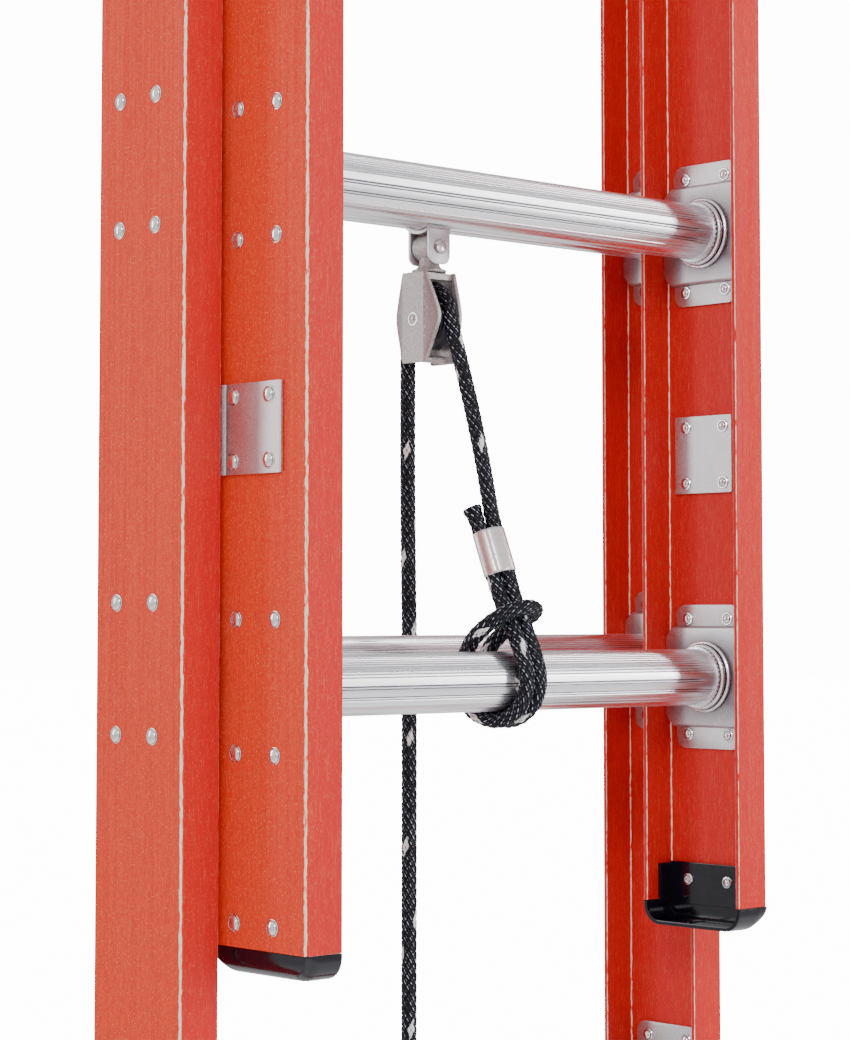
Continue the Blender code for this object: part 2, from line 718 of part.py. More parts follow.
def strap_outline():
    """The strap's side view: a saddle under the base rung, and two legs that hang from it."""
    y, z = BASE_RUNG_Y, PULLEY_RUNG_Z
    inner = RUNG_RADIUS + 0.4 * MM
    outer = inner + STRAP_WALL
    low = PIN_Z - 11.4 * MM
    leg_in = STRAP_LEG - STRAP_WALL
    turn_out = math.degrees(math.asin(STRAP_LEG / outer))
    turn_in = math.degrees(math.asin(leg_in / outer))
    front = arc((y, z), outer, -90 - turn_out, -90 - STRAP_EAR, 2)
    saddle = arc((y, z), inner, -90 - STRAP_EAR, -90 + STRAP_EAR, 8)
    back = arc((y, z), outer, -90 + STRAP_EAR, -90 + turn_out, 2)
    middle = arc((y, z), outer, -90 + turn_in, -90 - turn_in, 4)
    feet = [(y + STRAP_LEG, low), (y + leg_in, low)]
    return [(y - STRAP_LEG, low), *front, *saddle, *back, *feet, *middle, (y - leg_in, low)]


def make_strap():
    y = BASE_RUNG_Y
    ends = (PULLEY_X - STRAP_HALF, PULLEY_X + STRAP_HALF)
    band = extruded([strap_outline()], *ends, "X")
    hole = rod(PIN_RADIUS + 0.4 * MM, -15 * MM, 15 * MM, (PULLEY_X, y, PIN_Z), "Y", 8)
    part("pulley_strap", without(band, hole), STEEL)
    profile = [
        (0, -13.0 * MM),
        (3.6 * MM, -13.0 * MM),
        (5.0 * MM, -STRAP_LEG - GAP),
        (PIN_RADIUS, -STRAP_LEG - GAP),
        (PIN_RADIUS, STRAP_LEG + GAP),
        (5.0 * MM, STRAP_LEG + GAP),
        (3.6 * MM, 13.0 * MM),
        (0, 13.0 * MM),
    ]
    part("strap_pin", turned(profile, 8, (PULLEY_X, y, PIN_Z), "Y"), STEEL)


def make_eye(swing):
    y = BASE_RUNG_Y
    barrel = turned(
        [(0, -EYE_HALF), (8.8 * MM, -EYE_HALF), (8.8 * MM, EYE_HALF), (0, EYE_HALF)],
        14,
        (PULLEY_X, y, PIN_Z),
        "Y",
    )
    collar = BLOCK_TOP + GAP
    stem = [
        (0, BLOCK_TOP - 4.6 * MM),
        (STEM_HEAD, BLOCK_TOP - 4.6 * MM),
        (STEM_HEAD, BLOCK_TOP - 2.8 * MM),
        (STEM, BLOCK_TOP - 2.8 * MM),
        (STEM, collar),
        (11.5 * MM, collar),
        (11.5 * MM, collar + 1.8 * MM),
        (8.0 * MM, collar + 3.6 * MM),
        (6.0 * MM, collar + 10.0 * MM),
        (0, collar + 10.0 * MM),
    ]
    body = joined(barrel, turned(stem, 12, (PULLEY_X, y, 0), "Z"))
    hole = rod(PIN_RADIUS + 0.6 * MM, -12 * MM, 12 * MM, (PULLEY_X, y, PIN_Z), "Y", 8)
    part("pulley_eye", without(body, hole), STEEL, swing)


def cheek(side):
    """One cast cheek: a flat middle strip whose two wings bend in towards the sheave."""
    outer = CHEEK_HALF
    strip, rim = 10.1 * MM, 20.6 * MM
    section = [
        (outer - CHEEK_BEND, -rim),
        (outer, -strip),
        (outer, strip),
        (outer - CHEEK_BEND, rim),
        (outer - CHEEK_BEND - CHEEK_WALL, rim),
        (outer - CHEEK_WALL, strip),
        (outer - CHEEK_WALL, -strip),
        (outer - CHEEK_BEND - CHEEK_WALL, -rim),
    ]
    section = [(PULLEY_X + side * x, BASE_RUNG_Y + y) for x, y in section]
    plate = extruded([section], BLOCK_BOTTOM, BLOCK_TOP, "Z")
    middle = 0.5 * (BLOCK_TOP + BLOCK_BOTTOM)
    edge = [
        (BASE_RUNG_Y - strip, BLOCK_BOTTOM - MM, 0),
        (BASE_RUNG_Y - strip, BLOCK_BOTTOM, 0),
        (BASE_RUNG_Y - rim - 1 * MM, middle, 14 * MM),
        (BASE_RUNG_Y - strip, BLOCK_TOP, 0),
        (BASE_RUNG_Y - strip, BLOCK_TOP + MM, 0),
    ]
    edge += [(2 * BASE_RUNG_Y - u, v, r) for u, v, r in reversed(edge)]
    low, high = sorted((PULLEY_X, PULLEY_X + side * (outer + 5 * MM)))
    plate = combined(plate, extruded([rounded(edge, 3)], low, high, "X"), "INTERSECT")
    hole = rod(AXLE_HOLE, outer - 8 * MM, outer + 5 * MM, (PULLEY_X, BASE_RUNG_Y, SHEAVE_Z), "X", 8)
    if side < 0:
        hole.data.transform(Matrix.Translation((2 * PULLEY_X, 0, 0)) @ Matrix.Scale(-1, 4, (1, 0, 0)))
        hole.data.flip_normals()
    return without(plate, hole)


def make_block(swivel):
    y = BASE_RUNG_Y
    inner = CHEEK_HALF - CHEEK_WALL + 1 * MM
    roof = box(
        (PULLEY_X - inner, y - 9.6 * MM, BLOCK_TOP - 5.0 * MM),
        (PULLEY_X + inner, y + 9.6 * MM, BLOCK_TOP - 0.4 * MM),
    )
    bar = rod(2.6 * MM, -inner, inner, (PULLEY_X, y, BLOCK_BOTTOM + 3.2 * MM), "X", 8)
    body = joined(roof, cheek(-1), cheek(1), bar)
    centre = (PULLEY_X, y, BLOCK_TOP)
    seat = rod(STEM_HEAD + 0.6 * MM, -7 * MM, -2.4 * MM, centre, "Z", 12)
    body = without(body, seat)
    body = without(body, rod(STEM + 0.6 * MM, -4 * MM, 2 * MM, centre, "Z", 12))
    part("pulley_block", body, STEEL, swivel)
    reach = CHEEK_HALF + 0.4 * MM
    axle = [(0, -reach), (AXLE, -reach), (AXLE, reach), (0, reach)]
    part("sheave_axle", turned(axle, 8, (PULLEY_X, y, SHEAVE_Z), "X"), STEEL, swivel)


def make_sheave(spin):
    groove = ROPE_WRAP - ROPE_RADIUS - GAP
    bore = AXLE + 0.6 * MM
    profile = [
        (bore, -6.6 * MM),
        (19.6 * MM, -6.6 * MM),
        (19.6 * MM, -5.6 * MM),
        (groove, -3.0 * MM),
        (groove, 3.0 * MM),
        (19.6 * MM, 5.6 * MM),
        (19.6 * MM, 6.6 * MM),
        (bore, 6.6 * MM),
        (bore, -6.6 * MM),
    ]
    wheel = turned(profile, 20, (PULLEY_X, BASE_RUNG_Y, SHEAVE_Z), "X")
    part("sheave", wheel, BLACK, spin)


# ---------------------------------------------------------------- rope

def fly_points(points):
    """Points given in millimetres from the middle of the fly's lowest rail front, as a route."""
    return [Vector((x * MM, FLY_FRONT + y * MM, FLY_FIRST + z * MM)) for x, y, z in points]


def ferrule_mouth(end, side):
    """Where a strand meets the ferrule, in millimetres: end 0 is its low end, side is 1 or -1."""
    low, high = Vector(FERRULE_LOW), Vector(FERRULE_HIGH)
    along = (high - low).normalized()
    wide = Vector(STRAND_SIDE)
    wide = wide - along * wide.dot(along)
    return (low - along if end == 0 else high + along) + wide * side


def make_ferrule(fly):
    """The crimped oval sleeve that holds the rope's eye."""
    low, high = fly_points([FERRULE_LOW, FERRULE_HIGH])
    along = (high - low).normalized()
    wide = Vector(STRAND_SIDE).normalized()
    wide = (wide - along * wide.dot(along)).normalized()
    length = (high - low).length
    profile = [(0, 0), (0.92, 0), (1, 0.06), (1, 0.94), (0.92, 1), (0, 1)]
    sleeve = turned(profile, 14, (0, 0, 0))
    columns = Matrix((wide * 11.0 * MM, along.cross(wide) * 6.8 * MM, along * length)).transposed()
    sleeve.data.transform(Matrix.Translation(low) @ columns.to_4x4())
    part("ferrule", sleeve, ALUMINIUM, fly)


def wrap_route():
    """The rope's way over the sheave and a little way down behind it."""
    wrap = arc((BASE_RUNG_Y, SHEAVE_Z), ROPE_WRAP, 180, 0, 12)
    down = (BASE_RUNG_Y + ROPE_WRAP, SHEAVE_Z - WRAP_DROP)
    return [(PULLEY_X, y, z) for y, z in [*wrap, down]]


def haul_route():
    """The hauling strand: down behind the base rungs and along the ground to the coil."""
    start = (PULLEY_X, BASE_RUNG_Y + ROPE_WRAP, SHEAVE_Z - WRAP_DROP - GAP)
    top = FLY_FIRST
    side = 7.5 * MM
    ground = ROPE_RADIUS + 0.2 * MM
    route = [
        start,
        (3.0 * MM, HAUL_Y - 3.0 * MM, top + 180 * MM),
        (5.0 * MM, HAUL_Y - 0.8 * MM, top + 130 * MM),
        (6.6 * MM, HAUL_Y, top + 60 * MM),
        (side, HAUL_Y + 0.4 * MM, top),
        (side, HAUL_Y + 0.6 * MM, top - 300 * MM),
        (side, HAUL_Y + 0.6 * MM, top - 700 * MM),
        (side, HAUL_Y + 0.6 * MM, top - 1100 * MM),
        (side, HAUL_Y + 0.6 * MM, 300 * MM),
        (side, HAUL_Y + 0.6 * MM, 120 * MM),
        (5.0 * MM, HAUL_Y + 0.4 * MM, 62 * MM),
        (-5.0 * MM, HAUL_Y, 24 * MM),
        (-25.0 * MM, HAUL_Y - 1.5 * MM, ground + 1.5 * MM),
        (-48.0 * MM, HAUL_Y - 3.5 * MM, ground),
        (-66.0 * MM, HAUL_Y - 5.5 * MM, ground),
    ]
    return smooth_route(route, 26 * MM)


def make_rope(fly, swivel):
    eye = fly_points([ferrule_mouth(0, -1), *EYE_ROUTE, ferrule_mouth(0, 1)])
    tail = fly_points([ferrule_mouth(1, -1), *TAIL_ROUTE])
    lift = fly_points([ferrule_mouth(1, 1), *LIFT_ROUTE])
    part("rope_eye_loop", tube(smooth_route(eye, 8.5 * MM)), BRAID, fly)
    part("rope_tail", tube(smooth_route(tail, 6 * MM)), BRAID, fly)
    part("lift_strand", tube(smooth_route(lift, 16 * MM)), BRAID, fly)
    part("rope_over_sheave", tube(wrap_route()), BRAID, swivel)
    part("hauling_strand", tube(haul_route()), BRAID)
    low, high = COIL_RADIUS - COIL_HALF, COIL_RADIUS + COIL_HALF
    lip = 4 * MM
    profile = [
        (low, lip),
        (low + lip, 0.2 * MM),
        (high - lip, 0.2 * MM),
        (high, lip),
        (high, COIL_HEIGHT - lip),
        (high - lip, COIL_HEIGHT),
        (low + lip, COIL_HEIGHT),
        (low, COIL_HEIGHT - lip),
        (low, lip),
    ]
    part("rope_coil", turned(profile, 24, (COIL_X, 0, 0)), BRAID)
    knot = [(0, 0.3), (5.5, 0.5), (9.0, 4.5), (10.5, 10.5), (9.0, 16.5), (5.5, 20.5), (0, 20.7)]
    knot = [(radius * MM, height * MM) for radius, height in knot]
    part("rope_end_knot", turned(knot, 12, (COIL_X - 2 * MM, 0, 0)), BRAID)


# ---------------------------------------------------------------- assembly

def make_ladder():
    fly = empty_at("fly_slide", (0, FLY_RUNG_Y, FLY_FIRST))
    swing = empty_at("pulley_swing", (PULLEY_X, BASE_RUNG_Y, PIN_Z))
    swivel = empty_at("pulley_swivel", (PULLEY_X, BASE_RUNG_Y, BLOCK_TOP), swing)
    spin = empty_at("sheave_spin", (PULLEY_X, BASE_RUNG_Y, SHEAVE_Z), swivel)
    lock_at = (0.5 * (PAWL_LOW + PAWL_HIGH), LOCK_PIVOT_Y, LOCK_PIVOT_Z)
    foot_at = (FOOT_X, FOOT_PIVOT_Y, FOOT_PIVOT_Z)
    locks, feet = [], []
    for side, sign in (("left", -1), ("right", 1)):
        locks.append(empty_at("lock_" + side, (sign * lock_at[0], *lock_at[1:]), fly))
        feet.append(empty_at("foot_swivel_" + side, (sign * foot_at[0], *foot_at[1:])))
    make_rails(fly)
    make_rungs(fly)
    make_fly_guides(fly)
    make_backing_plates(fly)
    make_caps(fly)
    make_top_guides()
    make_locks(fly, locks)
    make_feet(feet)
    make_strap()
    make_eye(swing)
    make_block(swivel)
    make_sheave(spin)
    make_ferrule(fly)
    make_rope(fly, swivel)


clear_scene()
PARTS = new_collection("extension_ladder")
WORK = new_collection("work")
make_ladder()
bpy.data.collections.remove(WORK)
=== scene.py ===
"""The looks of a two-section extension ladder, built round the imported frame.

Metres, +Z up, X across the ladder, -Y the climber's side. Right-hand pieces are built at +X and
mirrored for the left.
"""

import math

import bmesh
import bpy
from mathutils import Matrix, Vector


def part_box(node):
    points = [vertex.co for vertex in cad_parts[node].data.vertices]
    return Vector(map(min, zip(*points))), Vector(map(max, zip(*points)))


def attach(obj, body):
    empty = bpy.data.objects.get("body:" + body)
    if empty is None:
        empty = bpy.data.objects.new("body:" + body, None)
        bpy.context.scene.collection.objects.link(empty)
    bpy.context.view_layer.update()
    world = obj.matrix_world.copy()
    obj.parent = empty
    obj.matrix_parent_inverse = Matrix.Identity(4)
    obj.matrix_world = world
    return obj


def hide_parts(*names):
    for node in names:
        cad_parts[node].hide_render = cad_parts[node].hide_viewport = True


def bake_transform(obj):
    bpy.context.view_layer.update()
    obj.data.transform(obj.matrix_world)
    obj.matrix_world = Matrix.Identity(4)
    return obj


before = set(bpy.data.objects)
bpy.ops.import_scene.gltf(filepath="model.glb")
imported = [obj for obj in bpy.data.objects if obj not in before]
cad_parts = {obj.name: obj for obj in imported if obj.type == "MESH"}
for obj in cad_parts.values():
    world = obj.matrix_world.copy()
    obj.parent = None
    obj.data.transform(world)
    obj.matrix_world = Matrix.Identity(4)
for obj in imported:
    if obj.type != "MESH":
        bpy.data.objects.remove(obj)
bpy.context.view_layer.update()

MM = 0.001
GAP = 0.3 * MM
SIDES = (("left", -1), ("right", 1))

# Rails and rungs.
WALL = 3.5 * MM
FLANGE = 28.3 * MM
RUNG_RADIUS = 19.0 * MM
SETBACK = 46.4 * MM
PAD = 5.5 * MM
TAB = 2.2 * MM
RUNGS = 8
RIVET_Y = 18.0 * MM
RIVET_Z = 39.5 * MM

# Thicknesses of the fittings: those inside the rails, and the guides on the fly's rails.
FITTING = 2.6 * MM
GUIDE = 2.4 * MM

# Rope.
ROPE = 4.5 * MM
ROPE_DIP = -0.15 * MM
ROPE_CROWN = 0.95 * MM
ROPE_SKIN = ROPE + ROPE_DIP + ROPE_CROWN
ROPE_STEP = 1.0 * MM
ROPE_SIDES = 28
STRANDS = 8
PLAIT = 7.0 * MM
TRACER_STEP = 3.4
ROPE_WRAP = 20.8 * MM
WRAP_DROP = 20.0 * MM
SPAN_STEPS = 24


class Section:
    """Where one of the ladder's two sections is, read from its packed rail and rungs."""

    def __init__(self, name):
        low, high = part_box(name + "_rail_right")
        self.name = name
        self.half = high.x
        self.web = high.x - WALL
        self.edge = high.x - FLANGE
        self.front = low.y
        self.back = high.y
        self.bottom = low.z
        self.top = high.z
        boxes = [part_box(f"{name}_rung_{i + 1}") for i in range(RUNGS)]
        self.rungs = [(low.z + high.z) / 2 for low, high in boxes]
        self.rung_y = self.front + SETBACK


BASE = Section("base")
FLY = Section("fly")
FIRST = FLY.rungs[0]
LOCK_Z = FLY.rungs[2]


def middle(node):
    """The middle of a node's box at rest."""
    low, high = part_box(node)
    return (low + high) / 2


PIN = middle("strap_pin")
AXLE = middle("sheave_axle")
LOCK_PIVOT = middle("lock_pin_right")
BLOCK_LOW, BLOCK_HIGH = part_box("pulley_block")


# ---- shapes

def fan(corners, steps):
    """(u, v, worn) points of an outline of (u, v, radius) corners; worn is 1 on a corner's middle."""
    points = []
    for i, (u, v, radius) in enumerate(corners):
        here = Vector((u, v))
        before = (Vector(corners[i - 1][:2]) - here).normalized()
        after = (Vector(corners[(i + 1) % len(corners)][:2]) - here).normalized()
        if radius == 0:
            points.append((u, v, 0.0))
            continue
        half = before.angle(after) / 2
        centre = here + (before + after).normalized() * (radius / math.sin(half))
        start = here + before * (radius / math.tan(half)) - centre
        end = here + after * (radius / math.tan(half)) - centre
        turn = start.angle_signed(end)
        for step in range(steps + 1):
            arm = Matrix.Rotation(-turn * step / steps, 2) @ start
            points.append((*(centre + arm), math.sin(math.pi * step / steps)))
    return points


def rounded(corners, steps=4):
    return [point[:2] for point in fan(corners, steps)]


def rectangle(u_low, v_low, u_high, v_high, radius, steps=4):
    corners = [(u_low, v_low), (u_high, v_low), (u_high, v_high), (u_low, v_high)]
    return rounded([(u, v, radius) for u, v in corners], steps)


def in_metres(points):
    """Points that are given in millimetres."""
    return [tuple(value * MM for value in point) for point in points]


def circle(steps):
    """(cosine, sine) pairs at equal steps round a circle."""
    turns = [2 * math.pi * i / steps for i in range(steps)]
    return [(math.cos(turn), math.sin(turn)) for turn in turns]


def arc(centre, radius, start, end, steps):
    angles = [math.radians(start + (end - start) * i / steps) for i in range(steps + 1)]
    return [(centre[0] + radius * math.cos(a), centre[1] + radius * math.sin(a)) for a in angles]


def add_loft(cage, rings, cyclic=False):
    """Skins rings of equal counts; the last meets the first if cyclic, or else both ends are filled."""
    made = [[cage.verts.new(point) for point in ring] for ring in rings]
    pairs = list(zip(made, made[1:]))
    if cyclic:
        pairs.append((made[-1], made[0]))
    for low, high in pairs:
        for i in range(len(low)):
            j = (i + 1) % len(low)
            cage.faces.new((low[i], low[j], high[j], high[i]))
    if not cyclic:
        cage.faces.new(list(reversed(made[0])))
        cage.faces.new(made[-1])
    return made


def laid(axis):
    """Turns (u, v, height) so that the height runs along the world axis, v staying as upright as it can."""
    columns = {
        "X": ((0, 1, 0), (0, 0, 1), (1, 0, 0)),
        "Y": ((1, 0, 0), (0, 0, 1), (0, -1, 0)),
        "Z": ((1, 0, 0), (0, 1, 0), (0, 0, 1)),
    }[axis]
    return Matrix(columns).transposed()


def add_slab(cage, outline, low, high, axis="X", edge=0.4 * MM):
    """A flat outline with a thickness along an axis, its rims rounded."""
    turn = laid(axis)
    low, high = (-high, -low) if axis == "Y" else (low, high)
    rings = [[turn @ Vector((u, v, level)) for u, v in outline] for level in (low, high)]
    made = add_loft(cage, rings)
    if edge:
        count = len(outline)
        rims = [cage.edges.get((ring[i], ring[(i + 1) % count])) for ring in made for i in range(count)]
        bmesh.ops.bevel(cage, geom=rims, offset=edge, segments=2, profile=0.5, affect="EDGES",
                        clamp_overlap=True)


def add_box(cage, low, high, edge=0.3 * MM):
    outline = rectangle(low[0], low[1], high[0], high[1], edge, 1)
    add_slab(cage, outline, low[2], high[2], "Z", edge)


def add_turned(cage, profile, centre, axis="X", steps=24, sign=1, shade_paint=()):
    """A profile of (radius, height) points turned about an axis through the centre, with painted shade on
    some of its rings.
    """
    turn, centre = laid(axis), Vector(centre)
    spokes = circle(steps)
    rings = []
    for radius, height in profile:
        radius = max(radius, 0.01 * MM)
        rings.append([centre + turn @ Vector((radius * c, radius * s, sign * height)) for c, s in spokes])
    made = add_loft(cage, rings)
    layer = cage.verts.layers.float.get("groove")
    for i in shade_paint if layer else ():
        for vert in made[i]:
            vert[layer] = 1.0


def frames(path):
    """A (side, up) pair for each point of a path, carried along it without twist."""
    pairs = []
    tangent = (path[1] - path[0]).normalized()
    side = tangent.cross(Vector((0.3, 1.0, 0.2))).normalized()
    for i in range(len(path)):
        new = (path[min(i + 1, len(path) - 1)] - path[max(i - 1, 0)]).normalized()
        side = tangent.rotation_difference(new).to_matrix() @ side
        side = (side - new * side.dot(new)).normalized()
        tangent = new
        pairs.append((side, new.cross(side)))
    return pairs


def smooth_route(points, spacing):
    """Evenly spaced points on a Catmull-Rom curve through the route's own points."""
    points = [Vector(p) for p in points]
    padded = [2 * points[0] - points[1], *points, 2 * points[-1] - points[-2]]
    fine = []
    for a, b, c, d in zip(padded, padded[1:], padded[2:], padded[3:]):
        for i in range(SPAN_STEPS):
            t = i / SPAN_STEPS
            curve = 2 * b + (c - a) * t + (2 * a - 5 * b + 4 * c - d) * t * t
            fine.append((curve + (3 * b - a - 3 * c + d) * t ** 3) / 2)
    fine.append(points[-1])
    travelled = [0.0]
    for a, b in zip(fine, fine[1:]):
        travelled.append(travelled[-1] + (b - a).length)
    count = max(2, round(travelled[-1] / spacing))
    route, at = [], 0
    for i in range(count + 1):
        wanted = travelled[-1] * i / count
        while at < len(fine) - 2 and travelled[at + 1] < wanted:
            at += 1
        share = (wanted - travelled[at]) / (travelled[at + 1] - travelled[at])
        route.append(fine[at].lerp(fine[at + 1], min(1.0, share)))
    return route


def length_of(path):
    """A path's length along its points."""
    return sum((b - a).length for a, b in zip(path, path[1:]))


# ---- materials

def put(tree, socket, value):
    """Links a socket to another node's output, or sets its value."""
    if isinstance(value, bpy.types.NodeSocket):
        tree.links.new(value, socket)
    elif isinstance(value, tuple) and len(value) == 3 and socket.type == "RGBA":
        socket.default_value = (*value, 1)
    else:
        socket.default_value = value


def added(tree, kind, sockets=(), **settings):
    """A new node with its settings and the (name or number, value) pairs of its input sockets."""
    made = tree.nodes.new("ShaderNode" + kind)
    for name, value in settings.items():
        setattr(made, name, value)
    for socket, value in sockets:
        put(tree, made.inputs[socket], value)
    return made


def maths(tree, operation, *values):
    return added(tree, "Math", enumerate(values), operation=operation).outputs[0]


def noise(tree, stretch, detail=3.0, offset=0.0):
    """Noise in the object's own coordinates; stretch is cells a metre along X, Y and Z."""
    place = added(tree, "TexCoord").outputs["Object"]
    mapping = added(tree, "Mapping", (("Scale", stretch), ("Location", (offset,) * 3), ("Vector", place)))
    made = added(tree, "TexNoise", (("Scale", 1.0), ("Detail", detail), ("Vector", mapping.outputs[0])))
    return made.outputs["Fac"]


def spread(tree, value, low, high, out_low=0.0, out_high=1.0):
    """Carries a value smoothly from one range to another."""
    names = ("Value", "From Min", "From Max", "To Min", "To Max")
    sockets = zip(names, (value, low, high, out_low, out_high))
    return added(tree, "MapRange", sockets, interpolation_type="SMOOTHSTEP").outputs[0]


def mix(tree, share, first, second):
    return added(tree, "Mix", ((0, share), (6, first), (7, second)), data_type="RGBA").outputs[2]


def attribute(tree, name):
    """A value that each point of the mesh carries."""
    return added(tree, "Attribute", attribute_name=name).outputs["Fac"]


def bumped(tree, shader, height, distance, strength):
    made = added(tree, "Bump", (("Strength", strength), ("Distance", distance), ("Height", height)))
    put(tree, shader.inputs["Normal"], made.outputs[0])


def stained(tree, colour, pattern, low, high, most, stain):
    """Lays up to a share of a stain over a colour, where a pattern rises from low to high."""
    return mix(tree, spread(tree, pattern, low, high, 0, most), colour, stain)


def material(name, colour, roughness, metallic=0.0, specular=0.5, coat=0.0):
    """A new material, its node tree and its shader."""
    look = bpy.data.materials.new(name)
    look.use_nodes = True
    shader = look.node_tree.nodes["Principled BSDF"]
    for name, value in (
        ("Base Color", (*colour, 1)), ("Roughness", roughness), ("Metallic", metallic),
        ("Specular IOR Level", specular), ("Coat Weight", coat), ("Coat Roughness", 0.08),
    ):
        shader.inputs[name].default_value = value
    return look, look.node_tree, shader


def finished(made, colour, pattern, smoothest, roughest, height, distance, strength):
    """Joins up a material: its colour, its roughness over a pattern, and its bump."""
    look, tree, shader = made
    put(tree, shader.inputs["Base Color"], colour)
    put(tree, shader.inputs["Roughness"], spread(tree, pattern, 0.3, 0.7, smoothest, roughest))
    bumped(tree, shader, height, distance, strength)
    return look


def fibreglass():
    """Pultruded fibreglass: rovings along the rail, light flecks, worn cream corners, and a darker red on the
    flanges and the web's inside, partly its own tone and partly painted shade.
    """
    made = material("fibreglass", (0.7, 0.1, 0.05), 0.5, specular=0.22)
    tree = made[1]
    flange = attribute(tree, "flange")
    streaks = noise(tree, (420, 420, 6), 4)
    mottle = noise(tree, (650, 650, 230), 4, 5.0)
    threads = noise(tree, (1500, 1500, 90), 3, 7.0)
    flecks = noise(tree, (1500, 1500, 700), 3, 3.0)
    most_flecks = maths(tree, "MULTIPLY_ADD", flange, -0.38, 0.55)
    ragged = maths(tree, "SUBTRACT", noise(tree, (1100, 1100, 160), 3, 11.0), 0.5)
    worn = maths(tree, "MULTIPLY_ADD", ragged, 1.2, attribute(tree, "worn"))
    # The flanges and the web's inner face take a darker red than the web's outer face: partly the
    # fibreglass's own tone, partly painted shade for the faces turned away from the key light.
    colour = mix(tree, flange, (0.84, 0.045, 0.008), (0.66, 0.004, 0.010))
    colour = stained(tree, colour, streaks, 0.42, 0.70, 0.50, (0.72, 0.022, 0.012))
    colour = mix(tree, spread(tree, mottle, 0.40, 0.62, 0.35, 0), colour, (0.55, 0.018, 0.010))
    colour = stained(tree, colour, threads, 0.55, 0.70, 0.30, (0.90, 0.17, 0.06))
    colour = stained(tree, colour, flecks, 0.59, 0.66, most_flecks, (1.0, 0.40, 0.18))
    colour = stained(tree, colour, worn, 0.70, 0.92, 0.98, (1.0, 0.88, 0.70))
    fibres = maths(tree, "ADD", threads, streaks)
    return finished(made, colour, streaks, 0.42, 0.58, fibres, 0.15 * MM, 0.35)


def extruded_aluminium():
    """Bright drawn tube: fine lines along it, and flutes darkened with painted shade."""
    made = material("rung_aluminium", (0.86, 0.86, 0.89), 0.24, metallic=1.0)
    tree = made[1]
    lines = noise(tree, (3, 700, 700), 4)
    colour = mix(tree, spread(tree, lines, 0.40, 0.70), (0.97, 0.96, 1.0), (0.86, 0.84, 0.88))
    # Painted shade: the flutes, the knurl's valleys and the feet of the beads are darkened nearly to black.
    colour = stained(tree, colour, attribute(tree, "groove"), 0.1, 0.9, 0.97, (0.06, 0.05, 0.07))
    return finished(made, colour, lines, 0.24, 0.36, lines, 0.03 * MM, 0.12)


def sheet_aluminium():
    """Dull pressed sheet: an even grain, soft clouds, and painted shade where a shape's points say so."""
    made = material("plate_aluminium", (0.72, 0.71, 0.73), 0.4, metallic=1.0)
    tree = made[1]
    grain = noise(tree, (1300, 1300, 1300), 3)
    cloud = noise(tree, (60, 60, 60), 3, 5.0)
    colour = mix(tree, spread(tree, grain, 0.42, 0.66), (0.60, 0.585, 0.61), (0.84, 0.82, 0.84))
    colour = stained(tree, colour, cloud, 0.45, 0.7, 0.4, (0.62, 0.58, 0.61))
    # Painted shade: a dark line at the foot of the plate's raised middle and round its hole.
    colour = mix(tree, attribute(tree, "groove"), colour, (0.12, 0.10, 0.12))
    return finished(made, colour, grain, 0.34, 0.50, grain, 0.10 * MM, 0.4)


def cast_metal():
    """Galvanised castings: a coarse grain, dark spots, and painted shade tinted with a painted reflection of
    the red rail on the cheeks' wings.
    """
    made = material("galvanised_steel", (0.6, 0.57, 0.57), 0.5, metallic=0.75)
    tree = made[1]
    grain = noise(tree, (900, 900, 900), 4)
    spots = noise(tree, (420, 420, 420), 2, 4.0)
    colour = mix(tree, spread(tree, grain, 0.38, 0.66), (0.44, 0.40, 0.40), (0.74, 0.69, 0.68))
    colour = stained(tree, colour, spots, 0.66, 0.74, 0.55, (0.20, 0.16, 0.18))
    # Painted shade and painted reflection: the cheeks' wings darken towards a pinkish grey that stands in for
    # the red rail reflected in them.
    colour = mix(tree, attribute(tree, "groove"), colour, (0.40, 0.26, 0.27))
    return finished(made, colour, grain, 0.42, 0.60, grain, 0.25 * MM, 0.55)


def plain_metal(name, colour, roughness):
    """A smooth metal with a faint grain, and painted shade where a shape's points say so."""
    made = material(name, colour, roughness, metallic=1.0)
    tree = made[1]
    grain = noise(tree, (700, 700, 700), 3)
    darker = tuple(0.78 * value for value in colour)
    shade = mix(tree, spread(tree, grain, 0.42, 0.70), colour, darker)
    # Painted shade: near-black rings at the feet of rivet heads and in the recess of the axle's ends.
    shade = mix(tree, attribute(tree, "groove"), shade, (0.05, 0.04, 0.05))
    return finished(made, shade, grain, roughness - 0.05, roughness + 0.1, grain, 0.08 * MM, 0.3)


def black_moulding():
    """Glossy black plastic."""
    made = material("black_moulding", (0.003, 0.003, 0.006), 0.14, specular=0.42, coat=0.1)
    tree = made[1]
    grain = noise(tree, (300, 300, 300), 3)
    colour = mix(tree, grain, (0.0015, 0.0015, 0.003), (0.006, 0.004, 0.014))
    return finished(made, colour, grain, 0.10, 0.18, grain, 0.2 * MM, 0.12)


def matt_black(name, colour, roughness):
    """Dull black rubber or plastic."""
    made = material(name, colour, roughness, specular=0.4)
    tree = made[1]
    grain = noise(tree, (800, 800, 800), 3)
    lighter = tuple(1.8 * value for value in colour)
    shade = mix(tree, spread(tree, grain, 0.45, 0.7), colour, lighter)
    return finished(made, shade, grain, roughness - 0.08, roughness + 0.08, grain, 0.15 * MM, 0.4)


